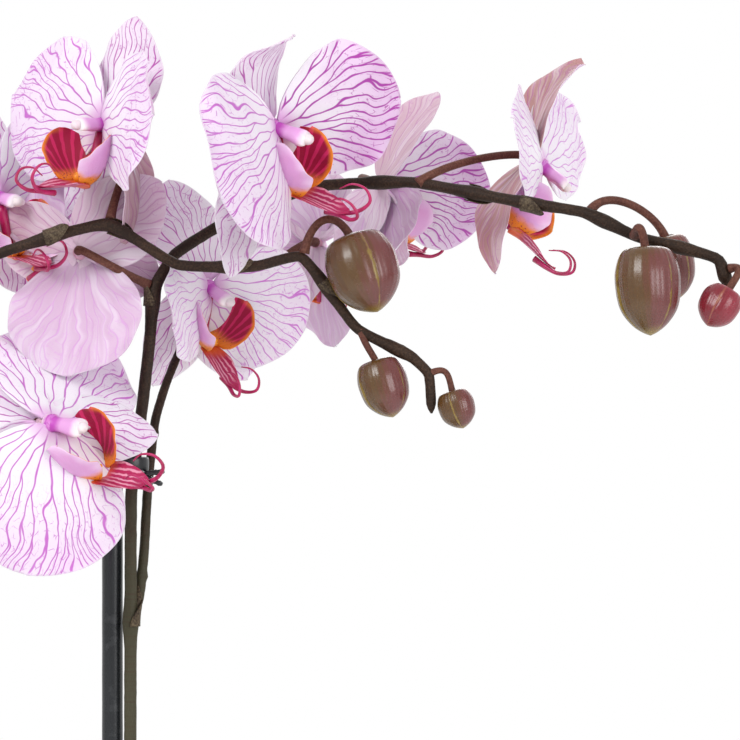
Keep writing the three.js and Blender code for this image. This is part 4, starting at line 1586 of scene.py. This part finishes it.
@dataclass(frozen=True)
class BarkBed:
    """The bed of bark chips in the pot, in millimetres. AREA is its top in square metres."""

    chips: int = 620
    chip: float = 9.0
    radius: float = 63.0
    top: float = 111.0

    RIM_POINTS = 48
    AREA = 0.011

    def make(self) -> None:
        """Builds the bed and scatters the chips over it."""
        skin = self._skin()
        foot = Pot.floor + 2
        dome = curve_through([
            (AXIS, foot), (44, foot), (48, foot + 6), (self.radius - 1, self.top - 6),
            (self.radius - 6, self.top - 3), (30, self.top - 1), (AXIS, self.top - 0.5),
        ], 40)
        bed = build("bark_bed", [turned(dome, 64).metres()], [skin])
        settle(bed, "bark", "bark")
        settle(self._scatter(skin), "bark")

    def _scatter(self, skin: Material) -> Object:
        """Chips of many sizes and turns, strewn over the top by a node tree.

        Args:
            skin: the bark's finish.

        Returns:
            The chips as one mesh.
        """
        mesh = bpy.data.meshes.new("bark_top")
        angle = round_turn(self.RIM_POINTS)
        rim = np.stack([np.cos(angle), np.sin(angle), 0 * angle], axis=1) * self.radius * 0.95 * MM
        rim[:, 2] = (self.top - 2.5) * MM
        mesh.from_pydata(rim.tolist(), [], [tuple(range(self.RIM_POINTS))])
        base = put("bark_top", mesh)
        recipe = Recipe("bark_scatter")
        spacing = recipe.number("Spacing", self.chip * 0.26 * MM)
        size = recipe.number("Chip size", self.chip * MM)
        seed = recipe.number("Seed", SEED)
        points = recipe.node("GeometryNodeDistributePointsOnFaces", {"distribute_method": "POISSON"},
                             {"Mesh": recipe.start, "Distance Min": spacing,
                              "Density Max": self.chips / self.AREA, "Seed": seed})
        lift = recipe.random((-0.0008, -0.0008, -0.002), (0.0008, 0.0008, 0.004), seed)
        points = recipe.pushed(points, lift)
        turn = recipe.random((-0.7, -0.7, 0.0), (0.7, 0.7, 6.283), seed)
        scale = recipe.scaled(recipe.random((0.55, 0.35, 0.16), (1.15, 0.75, 0.42), seed), size)
        chip = recipe.node("GeometryNodeMeshIcoSphere", None, {"Radius": 0.75, "Subdivisions": 2})
        ragged = recipe.node("ShaderNodeTexNoise", None, {"Scale": 2.6, "Detail": 1.0}, "Color")
        inputs = {0: ragged, 1: (0.5, 0.5, 0.5)}
        ragged = recipe.node("ShaderNodeVectorMath", {"operation": "SUBTRACT"}, inputs)
        chip = recipe.pushed(chip, recipe.scaled(ragged, 1.1))
        strewn = recipe.node("GeometryNodeInstanceOnPoints", None,
                             {"Points": points, "Instance": chip, "Rotation": turn, "Scale": scale})
        return recipe.apply(base, strewn, "bark_chips", skin, smooth=False)

    def _skin(self) -> Material:
        """Split bark: red-brown wood and grey-brown cork in layers.

        Returns:
            The material.
        """
        shader = Shader("bark_skin")
        where = shader.object_place()
        x, y, z = shader.split(where)
        layers = shader.noise(shader.join(x * 260.0, y * 90.0, z * 700.0), 1.0, 4.0)
        blotch = shader.noise(where, 75.0, 2.0)
        colour = shader.mix(layers.above(0.3, 0.7), (0.050, 0.022, 0.012), (0.23, 0.105, 0.050))
        colour = shader.mix(blotch.above(0.45, 0.7) * 0.8, colour, (0.14, 0.105, 0.08))
        flecks = shader.noise(where, 800.0, 2.0).above(0.66, 0.75)
        colour = shader.mix(flecks * 0.5, colour, (0.33, 0.25, 0.17))
        return shader.finish(Base_Color=colour, Roughness=0.82 + blotch * 0.12,
                             Normal=shader.bump(layers + shader.noise(where, 900.0, 3.0) * 0.5, 0.0009, 0.8))


@dataclass(frozen=True)
class Stake:
    """The coated stake and the spring clip that ties the main spike to it, in millimetres."""

    radius: float = 3.5
    sides: int = 40

    RIPPLES = 90
    CORNERS = 16

    def make(self) -> None:
        """Builds and dresses the stake and its clip."""
        low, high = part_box("stake")
        middle = [(low[axis] + high[axis]) / 2 / MM for axis in (0, 1)]
        bottom, top = low[2] / MM, high[2] / MM
        foot = curve_through([(AXIS, bottom), (2.6, bottom), (self.radius, bottom + 1.5),
                              (self.radius, bottom + 20)], 12)
        ripples = [(self.radius * (1 + 0.006 * math.sin(step * 1.7)),
                    bottom + 22 + step * (top - bottom - 27) / self.RIPPLES)
                   for step in range(self.RIPPLES + 1)]
        point = curve_through([(self.radius, top - 4), (3.3, top - 1.6), (2.3, top - 0.3), (1.0, top),
                               (AXIS, top)], 12)
        stick = turned([*foot, *ripples, *point], self.sides).moved(Matrix.Translation((*middle, 0)))
        coat = self._coat("stake_coat", 0.0)
        settle(build("black_stake", [stick.metres()], [coat]), "stake_coat", "stake")
        self._clip(middle)

    def _clip(self, middle: list[float]) -> None:
        """An oval band with two ribbed finger levers and a hinge barrel.

        Args:
            middle: the stake's axis, as x and y in millimetres.
        """
        low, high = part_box("clip")
        z = (low[2] + high[2]) / 2 / MM
        skew, long, short = math.radians(-32), 9.2, 6.9
        corner = round_turn(self.CORNERS)
        wide = squared(np.cos(corner), 0.5)[:, None] * 0.85
        tall = squared(np.sin(corner), 0.5)[:, None] * 2.4
        centre = np.array([middle[0] + 3.1, middle[1] - 2, z + 2.0])
        rings = []
        for angle in round_turn(72):
            x, y = math.cos(angle) * long, math.sin(angle) * short
            across = np.array([x * math.cos(skew) - y * math.sin(skew),
                               x * math.sin(skew) + y * math.cos(skew), 0.0])
            rings.append(centre + across + unit(across) * wide + np.array([0, 0, 1.0]) * tall)
        band = loft(np.array(rings)[:, ::-1], False)
        levers = [self._lever().moved(Matrix.Translation((6.6, -3.4, z - 1.2)) @ spun(tilt, "Y"))
                  for tilt in (-6, 24)]
        barrel = turned([(AXIS, -4.2), (1.5, -4.0), (1.7, -3.4), (1.7, 3.4), (1.5, 4.0), (AXIS, 4.2)], 24)
        barrel = barrel.moved(Matrix.Translation((6.9, -3.4, z - 1.2)) @ spun(90, "X"))
        shapes = [part.metres() for part in (band, *levers, barrel)]
        settle(build("stem_clip", shapes, [self._coat("clip_plastic", 0.25)]), "clip_plastic", "clip")

    def _lever(self) -> Shape:
        """A finger lever, thinner and rounder towards its tip, with grip ribs.

        Returns:
            Its shape, along +X, in millimetres.
        """
        corner = round_turn(self.CORNERS)
        rings = []
        for reach in np.linspace(1.5, 8.5, 48):
            end = math.sqrt(max(1 - ((reach - 5.0) / 3.51) ** 8, 0.0))
            rib = 0.16 * max(math.sin(reach * 3.6), 0) if reach > 4 else 0.0
            wide = squared(np.cos(corner), 0.45) * 1.7 * (0.25 + 0.75 * end)
            tall = squared(np.sin(corner), 0.6) * (0.85 + rib) * (0.3 + 0.7 * end)
            rings.append(np.stack([np.full(self.CORNERS, reach), wide, tall], axis=1))
        return loft(np.array(rings))

    def _coat(self, name: str, grain: float) -> Material:
        """Black plastic with faint scuffs and drawn lines.

        Args:
            name: the material's name.
            grain: how much rougher than the smoothest plastic it is.

        Returns:
            The material.
        """
        shader = Shader(name)
        where = shader.object_place()
        x, y, z = shader.split(where)
        lines = shader.noise(shader.join(x * 900.0, y * 900.0, z * 14.0), 1.0, 2.0)
        scuffs = shader.noise(where, 180.0, 4.0).above(0.58, 0.75)
        colour = shader.mix(lines * 0.6, (0.009, 0.010, 0.012), (0.026, 0.029, 0.033))
        colour = shader.mix(scuffs * 0.35, colour, (0.06, 0.063, 0.068))
        return shader.finish(Base_Color=colour, Roughness=0.25 + scuffs * 0.2 + grain * 0.3,
                             Specular_IOR_Level=0.5,
                             Normal=shader.bump(lines + shader.noise(where, 1400.0) * 0.5, 0.0001, 0.5))


# ------------------------------------------------------------------ crown, leaves and roots

@dataclass(frozen=True)
class Leaf:
    """One strap leaf: which way it grows, and how it arches."""

    number: int
    toward: float
    length: float
    width: float
    lean: float
    bend: float
    height: float


@dataclass(frozen=True)
class Foliage:
    """The crown with its strap leaves and aerial roots, in millimetres about the crown's axis."""

    radius: float = 6.5
    leaves: tuple[Leaf, ...] = (
        Leaf(1, 245, 200, 64, 36, -60, 121), Leaf(2, 62, 210, 66, 38, -64, 126),
        Leaf(3, 256, 168, 60, 55, -58, 131), Leaf(4, 74, 175, 58, 57, -60, 137),
        Leaf(5, 264, 92, 34, 74, -28, 142),
    )
    roots: tuple[Point, ...] = ((8, 62, 10), (118, 84, -12), (304, 70, 14))

    def make(self) -> None:
        """Builds and dresses the crown, leaves and roots."""
        low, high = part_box("crown")
        middle = tuple((low[axis] + high[axis]) / 2 / MM for axis in (0, 1))
        axis = Matrix.Translation((*middle, 0))
        self._crown(axis, low[2] / MM, high[2] / MM)
        green = self._leaf_skin()
        for leaf in self.leaves:
            self._leaf(leaf, axis, green)
        velamen = self._root_skin()
        for number, root in enumerate(self.roots, 1):
            self._root(number, root, middle, velamen)

    def _crown(self, axis: Matrix, bottom: float, top: float) -> None:
        """The short stem, ringed by old leaf scars.

        Args:
            axis: where its axis stands.
            bottom: its foot's height, in millimetres.
            top: its top's height.
        """
        r = self.radius
        profile = curve_through([(AXIS, bottom), (r - 2.5, bottom), (r, bottom + 8), (r - 0.5, bottom + 14),
                                 (r, bottom + 20), (r - 0.5, bottom + 27), (r, bottom + 34),
                                 (r - 0.6, top - 12), (r - 2.5, top - 4), (r - 5, top), (AXIS, top)], 70)
        shape = turned(profile, 40).moved(axis)
        shader = Shader("crown_tissue")
        where = shader.object_place()
        _, _, z = shader.split(where)
        fibre = shader.noise(where, 320.0, 4.0)
        colour = shader.mix(fibre.above(0.3, 0.7), (0.10, 0.085, 0.045), (0.20, 0.24, 0.08))
        colour = shader.mix((z * 900.0).math("SINE").above(0.4, 0.9) * 0.6, colour, (0.16, 0.10, 0.055))
        skin = shader.finish(Base_Color=colour, Roughness=0.62 + fibre * 0.2,
                             Normal=shader.bump(fibre, 0.0005, 0.6))
        settle(build("crown_stem", [shape.metres()], [skin]), "crown_tissue", "crown")

    def _leaf(self, leaf: Leaf, axis: Matrix, green: Material) -> None:
        """One leaf, with the sheath that clasps the crown.

        Args:
            leaf: how it grows.
            axis: where the crown's axis stands.
            green: its finish.
        """
        blade = Tepal(length=leaf.length, width=leaf.width, claw=0.30, fullest=1.15, fullness=0.50,
                      lean=leaf.lean, bend=leaf.bend, hollow=-7, ruffle=0.7, body=1.5, root=1.2, groove=1.1,
                      rows=90, columns=34, seed=60 + leaf.number)
        seat = axis @ Matrix.Translation((0, 0, leaf.height)) @ spun(leaf.toward - 90, "Z")
        around, up = np.meshgrid(np.linspace(-1, 1, 25), np.linspace(0, 1, 16))
        angle = around * math.radians(105) * (1 - 0.45 * up ** 2)
        radius = self.radius + 0.25 + 1.5 * up ** 2
        height = -15 + up * (18 + 5 * np.sin(math.radians(leaf.lean)) * (1 - around ** 2))
        out = np.stack([np.sin(angle), np.cos(angle)], axis=2)
        inner = np.concatenate([out * radius[..., None], height[..., None]], axis=2)
        radius = radius + 1.0 - 0.5 * around ** 2
        outer = np.concatenate([out * radius[..., None], height[..., None]], axis=2)
        sheath = slab(outer, inner, np.stack([around * 12, height], axis=2), np.abs(around) ** 4)
        shapes = [blade.shape().moved(seat @ Matrix.Translation((0, self.radius + 0.7, 0))).metres(),
                  sheath.moved(seat).metres()]
        settle(build(f"leaf_{leaf.number}_blade", shapes, [green]), "leaf", f"leaf_{leaf.number}")

    def _root(self, number: int, root: Point, centre: tuple[float, float], skin: Material) -> None:
        """One aerial root, over the rim and down outside the pot.

        Args:
            number: its number.
            root: its direction in degrees, how far it hangs below the rim, and its sway.
            centre: the crown's axis, as x and y in millimetres.
            skin: its finish.
        """
        toward, drop, sway = root
        angle = math.radians(toward)
        x, y = centre
        ahead = x * math.cos(angle) + y * math.sin(angle)
        rim = math.sqrt(ahead ** 2 - x ** 2 - y ** 2 + Pot.rim ** 2) - ahead

        def place(distance: float, height: float, side: float) -> Point:
            """A point at a distance from the crown's axis, with a sideways shift."""
            return (x + distance * math.cos(angle) - side * math.sin(angle),
                    y + distance * math.sin(angle) + side * math.cos(angle), height)

        lip = Pot.height
        route = (place(self.radius + 1.5, lip - 8, 0), place(rim * 0.45, lip + 10, sway * 0.5),
                 place(rim - 2, lip + 8, sway), place(rim + 10, lip - 6, sway * 0.7),
                 place(rim + 12, lip - drop * 0.55, 0), place(rim + 8, lip - drop, -sway * 0.4))
        stem = Stem(route, 2.5, 0.85, (), steps=160, sides=22, roughness=0.35, looseness=1.0)
        settle(stem.grow(f"root_{number}_velamen", skin), "root", f"root_{number}")

    def _leaf_skin(self) -> Material:
        """Thick glossy leaf: deep green above with a pale midrib, lighter below.

        Returns:
            The material.
        """
        shader = Shader("leaf_skin")
        side, along, tag = shader.split(shader.attribute("place"))
        _, front = shader.blade_tag(tag)
        where = shader.object_place()
        streaks = shader.noise(shader.join(side, along * 0.12), 1.3, 4.0)
        cloud = shader.noise(where, 26.0, 3.0)
        shade = (streaks * 0.5 + cloud * 0.6).above(0.3, 0.8)
        upper = shader.mix(shade, (0.022, 0.075, 0.014), (0.055, 0.145, 0.026))
        midrib = abs(side).below(0.5, 2.2)
        upper = shader.mix(midrib * 0.45, upper, (0.14, 0.24, 0.06))
        lower = shader.mix(streaks, (0.085, 0.15, 0.045), (0.12, 0.20, 0.07))
        colour = shader.mix(front, lower, upper)
        rim, _, _ = shader.split(shader.attribute("edge"))
        colour = shader.mix(rim.above(0.7, 1.0) * 0.5, colour, (0.12, 0.075, 0.05))
        foot = (along + cloud * 10).below(4.0, 26.0)
        colour = shader.mix(foot * 0.6, colour, (0.18, 0.23, 0.09))
        return shader.finish(
            Base_Color=colour, Roughness=0.30 + cloud * 0.16, Coat_Weight=0.18, Coat_Roughness=0.25,
            Specular_IOR_Level=0.5, Subsurface_Weight=0.05, Subsurface_Radius=(0.4, 1.0, 0.2),
            Subsurface_Scale=0.002,
            Normal=shader.bump(streaks + shader.noise(where, 700.0, 2.0) * 0.3, 0.0003, 0.5),
        )

    def _root_skin(self) -> Material:
        """Silvery velamen over green, with a green growing tip.

        Returns:
            The material.
        """
        shader = Shader("root_velamen")
        where = shader.object_place()
        along = shader.attribute("along", True)
        mottle = shader.noise(where, 170.0, 4.0)
        colour = shader.mix(mottle.above(0.35, 0.65), (0.20, 0.26, 0.16), (0.44, 0.47, 0.40))
        tip = (along + (mottle - 0.5) * 0.006).above(0.128, 0.14)
        colour = shader.mix(tip * 0.8, colour, (0.12, 0.24, 0.05))
        return shader.finish(Base_Color=colour, Roughness=0.8 - tip * 0.3,
                             Normal=shader.bump(mottle + shader.noise(where, 900.0, 3.0), 0.0004, 0.7))


def petal(grows: Point, faces: Point, seed: int, tone: float = 0.4, **changes: float) -> Held:
    """A petal, as it is held, with its own seed, tone and changed sizes."""
    return Held(replace(PETAL, seed=seed, tone=tone, **changes), grows, faces)


def dorsal(grows: Point, faces: Point, seed: int, **changes: float) -> Held:
    """A dorsal sepal, as it is held."""
    return Held(replace(DORSAL, seed=seed, **changes), grows, faces)


def lateral(grows: Point, faces: Point, seed: int, **changes: float) -> Held:
    """A lateral sepal, as it is held."""
    return Held(replace(LATERAL, seed=seed, **changes), grows, faces)


def open_flowers() -> list[Flower]:
    """The nine open flowers, each with its blades held in its own way.

    Returns:
        The flowers.
    """
    return [
        Flower(1, -42, -3, -9, 1.0, Stalk((-2, -12, 574.5), (0.1, 0.5, 1)),
               (petal((-0.76, 0.52, 0.28), (-0.58, -0.80, 0.10), 1, bend=-16, width=50),
                petal((0.24, -0.96, 0.02), (-0.92, -0.30, 0.10), 2, bend=-26, width=46, length=42)),
               (dorsal((0.26, -0.10, 0.94), (-0.62, -0.76, 0.10), 3, bend=14, length=36, width=30),
                lateral((-0.28, 0.28, -0.92), (-0.35, -0.90, -0.15), 4, bend=-4, length=46),
                lateral((0.50, -0.06, -0.84), (-0.78, 0.40, -0.42), 5, bend=66, tone=0.75, length=41,
                        width=24)),
               Lip(spread=36)),
        Flower(2, 66, -18, 26, 1.05, Stalk((59.5, 9.8, 587.3), (-0.2, 0.2, 1)),
               (petal((-0.04, -0.90, -0.42), (0.93, -0.18, 0.32), 6, bend=-40, width=59, length=44),
                petal((0.88, 0.38, 0.26), (0.30, -0.80, -0.45), 7, 0.9, bend=6, width=46, length=42)),
               (dorsal((-0.40, -0.05, 0.91), (0.80, -0.52, 0.20), 8, bend=104, length=34, width=32),
                lateral((-0.10, -0.10, -1.0), (0.75, -0.60, -0.05), 9, bend=-8, length=48, tone=0.1),
                lateral((0.25, 0.55, -0.80), (0.70, -0.50, -0.40), 10, length=34)),
               Lip(spread=22, cup=-14, lobe_width=20)),
        Flower(3, 138, -6, 15, 0.98, Stalk((84, 11.5, 586.5), (-0.2, 1, 0.3)),
               (petal((-0.04, -0.62, -0.80), (0.72, 0.62, -0.28), 11, 0.3, bend=8, width=40, length=33),
                petal((0.80, 0.55, -0.02), (0.55, -0.80, 0.05), 12, 0.7, bend=10, width=44, length=42)),
               (dorsal((0.40, -0.15, 0.90), (0.80, 0.50, -0.30), 13, bend=30, length=38, tone=0.66),
                lateral((-0.34, 0.22, -0.92), (0.75, 0.60, -0.14), 14, tone=0.2, length=32),
                lateral((0.32, 0.55, -0.76), (0.70, 0.60, -0.20), 15, tone=0.2, length=32))),
        Flower(4, 76, -40, -14, 0.95, Stalk((100.6, -1.2, 586.6), (0.8, 0.2, 0.62), reach=9),
               (petal((-0.16, -0.92, 0.34), (0.93, -0.25, 0.12), 16, 0.15, bend=-14, width=42, length=42),
                petal((0.36, 0.84, 0.40), (0.82, -0.54, 0.10), 17, 0.15, bend=-4, width=42)),
               (dorsal((-0.04, 0.04, 0.98), (0.84, 0.46, 0.10), 18, bend=74, length=45, tone=0.9),
                lateral((-0.66, -0.35, -0.66), (0.80, 0.30, -0.55), 19, bend=62, length=46, width=30,
                        tone=0.9),
                lateral((0.10, 0.75, -0.65), (0.90, -0.35, -0.20), 20, length=34)),
               Lip(foot=25, spread=26)),
        Flower(5, 48, -26, 4, 0.95, Stalk((15, 8, 555), (-0.1, 1, -0.2)),
               (petal((-0.30, -0.88, -0.36), (0.97, -0.20, 0.10), 21, 0.1, bend=4, width=38, length=40),
                petal((0.80, 0.50, -0.30), (0.42, -0.88, -0.18), 22, 0.2, bend=-4, width=46, length=43)),
               (dorsal((-0.26, 0.20, 0.94), (0.25, -0.94, 0.20), 23, width=30, tone=0.1),
                lateral((-0.35, 0.00, -0.93), (0.45, -0.80, -0.20), 24, tone=0.1),
                lateral((0.42, 0.25, -0.86), (0.20, -0.95, -0.10), 25, width=28, tone=0.1)),
               Lip(spread=34, lobe_width=20, dip=18)),
        Flower(6, 168, -10, 0, 0.95, Stalk((32, 53, 545), (0.5, 0.6, 0.5)),
               (petal((0.08, -0.10, -0.95), (0.88, 0.40, 0.05), 26, 0.0, bend=12, width=48, length=38),
                petal((-0.60, 0.20, 0.75), (0.30, 0.92, 0.10), 27, 0.2, width=44, length=40)),
               (dorsal((0.10, 0.60, 0.70), (0.20, 0.85, -0.10), 28, length=34),
                lateral((-0.35, 0.00, -0.93), (0.60, 0.80, -0.10), 29, tone=0.2, length=34),
                lateral((0.25, 0.60, 0.60), (0.45, 0.85, 0.10), 30, length=30))),
        Flower(7, 172, -18, 74, 1.0, Stalk((8.0, 0.2, 552.4), (-0.9, -0.5, 0.4), reach=12),
               (petal((-0.04, -0.50, -0.86), (0.15, 0.86, -0.50), 31, 0.0, bend=6, width=46, length=44),
                petal((-0.30, 0.40, 0.86), (0.20, 0.95, 0.10), 32, 0.2, width=44, length=38)),
               (dorsal((-0.75, 0.60, 0.25), (0.40, 0.80, 0.10), 33, length=36),
                lateral((0.80, 0.45, -0.30), (0.30, 0.85, -0.20), 34, length=28),
                lateral((0.74, 0.00, 0.60), (0.20, 0.95, 0.10), 35, length=36, width=30))),
        Flower(8, 54, -4, 40, 1.06, Stalk((3.4, -3.4, 497), (-0.1, -1, 0.1)),
               (petal((-0.10, -0.30, -0.94), (0.36, -0.90, 0.26), 36, 0.4, bend=-22, width=57),
                petal((0.06, 0.74, 0.66), (0.35, -0.70, 0.60), 37, 0.4, bend=-8, width=50)),
               (dorsal((-0.82, 0.40, 0.42), (0.30, -0.92, 0.20), 38),
                lateral((-0.50, 0.30, -0.80), (0.30, -0.92, 0.10), 39),
                lateral((0.93, 0.30, 0.00), (0.25, -0.80, 0.50), 40, length=37, width=24)),
               Lip(spread=26, cup=-4)),
        Flower(9, 40, -8, 12, 0.98, Stalk((-62, -11.2, 548.8), (0.1, 1, -0.3)),
               (petal((-0.55, -0.60, -0.25), (0.70, -0.70, 0.05), 41, bend=-20, width=48),
                petal((0.60, 0.65, 0.35), (0.62, -0.78, 0.05), 42, width=48)),
               (dorsal((-0.15, 0.20, 0.96), (0.55, -0.80, 0.20), 43),
                lateral((-0.50, -0.10, -0.85), (0.60, -0.75, -0.20), 44),
                lateral((0.35, 0.45, -0.80), (0.60, -0.78, -0.10), 45))),
    ]


# ------------------------------------------------------------------ studio

class Studio:
    """Camera, floor and soft light."""

    LENS = 150.0
    SENSOR = 36.0
    WINDOW = 0.2467
    AIM = (0.0833, 0.0, 0.5233)

    def make(self) -> None:
        """Sets everything up."""
        self._camera()
        self._floor()
        self._lights()

    def _camera(self) -> None:
        """A level camera at the front, framing the flowering top."""
        data = bpy.data.cameras.new("camera")
        data.lens = self.LENS
        data.sensor_width = self.SENSOR
        camera = put("camera", data)
        distance = self.WINDOW * self.LENS / self.SENSOR
        camera.location = (self.AIM[0], self.AIM[1] - distance, self.AIM[2])
        camera.rotation_euler = (math.pi / 2, 0, 0)
        bpy.context.scene.camera = camera

    def _floor(self) -> None:
        """A plain pale floor under the pot."""
        bpy.ops.mesh.primitive_plane_add(size=6)
        floor = bpy.context.object
        floor.name = "studio_floor"
        shader = Shader("studio_floor")
        floor.data.materials.append(shader.finish(Base_Color=(0.86, 0.86, 0.86), Roughness=0.8))

    def _lights(self) -> None:
        """A surround that is brightest behind the plant, and three soft panels."""
        world = bpy.data.worlds.new("surround")
        world.use_nodes = True
        nodes, links = world.node_tree.nodes, world.node_tree.links
        nodes["Background"].inputs["Color"].default_value = (1, 1, 1, 1)
        toward = nodes.new("ShaderNodeTexCoord")
        split = nodes.new("ShaderNodeSeparateXYZ")
        fade = nodes.new("ShaderNodeMapRange")
        fade.interpolation_type = "SMOOTHSTEP"
        for name, value in (("From Min", -0.7), ("From Max", 0.75), ("To Min", 0.62), ("To Max", 1.0)):
            fade.inputs[name].default_value = value
        links.new(toward.outputs["Generated"], split.inputs[0])
        links.new(split.outputs["Y"], fade.inputs["Value"])
        links.new(fade.outputs[0], nodes["Background"].inputs["Strength"])
        bpy.context.scene.world = world
        bpy.context.scene.view_settings.view_transform = "Standard"
        for name, place, power, size in (
            ("key", (-0.8, -1.0, 1.3), 12.0, 0.6),
            ("fill", (1.0, -1.1, 0.8), 8.0, 0.7),
            ("back", (0.3, 1.2, 1.1), 6.0, 0.9),
        ):
            data = bpy.data.lights.new(name, "AREA")
            data.energy = power
            data.size = size
            lamp = put(name, data)
            lamp.location = place
            lamp.rotation_euler = (Vector(self.AIM) - Vector(place)).to_track_quat("-Z", "Y").to_euler()


def grow_stems(dark: Material, bract: Material) -> None:
    """Sweeps the two spikes and the side branch, with their bracts.

    Args:
        dark: the stems' finish.
        bract: the bracts' finish.
    """
    for name, stem, node, scales in (
        ("main", MAIN, "main_spike", ((0.49, 200), (0.655, 20), (0.853, 250), (0.885, 130))),
        ("second", SECOND, "second_spike", ((0.60, 90), (0.757, 60), (0.79, 250), (0.855, 60), (0.91, 20))),
        ("side", BRANCH, "side_branch", ((0.04, 60),)),
    ):
        settle(stem.grow(f"{name}_stem", dark), "stem", node)
        path, thick = stem.path(), stem.thickness()
        shapes = [Bract(place, side).shape(path, thick).metres() for place, side in scales]
        settle(build(f"{name}_bracts", shapes, [bract]), "stem")


def main() -> None:
    """Builds the orchid piece by piece."""
    logging.basicConfig(level=logging.INFO, format="%(name)s %(message)s")
    Studio().make()
    finishes = FlowerFinishes()
    dark = StemFinish("stem_skin", (0.018, 0.009, 0.005), (0.060, 0.032, 0.019), (0.060, 0.055, 0.032),
                      0.49).material()
    bract = StemFinish("bract_skin", (0.030, 0.018, 0.012), (0.16, 0.12, 0.07), (0.1, 0.08, 0.05)).material()
    grow_stems(dark, bract)
    brown = BudFinish("bud_skin").material()
    crimson = BudFinish("crimson_bud_skin", (0.20, 0.010, 0.022), (0.27, 0.016, 0.036), (0.30, 0.10, 0.05),
                        0.95).material()
    Pot().make()
    BarkBed().make()
    Stake().make()
    Foliage().make()
    for bud in BUDS:
        bud.make(crimson if bud.number == 6 else brown, finishes.stalk)
    for flower in open_flowers():
        flower.make(finishes)


if __name__ == "__main__":
    main()
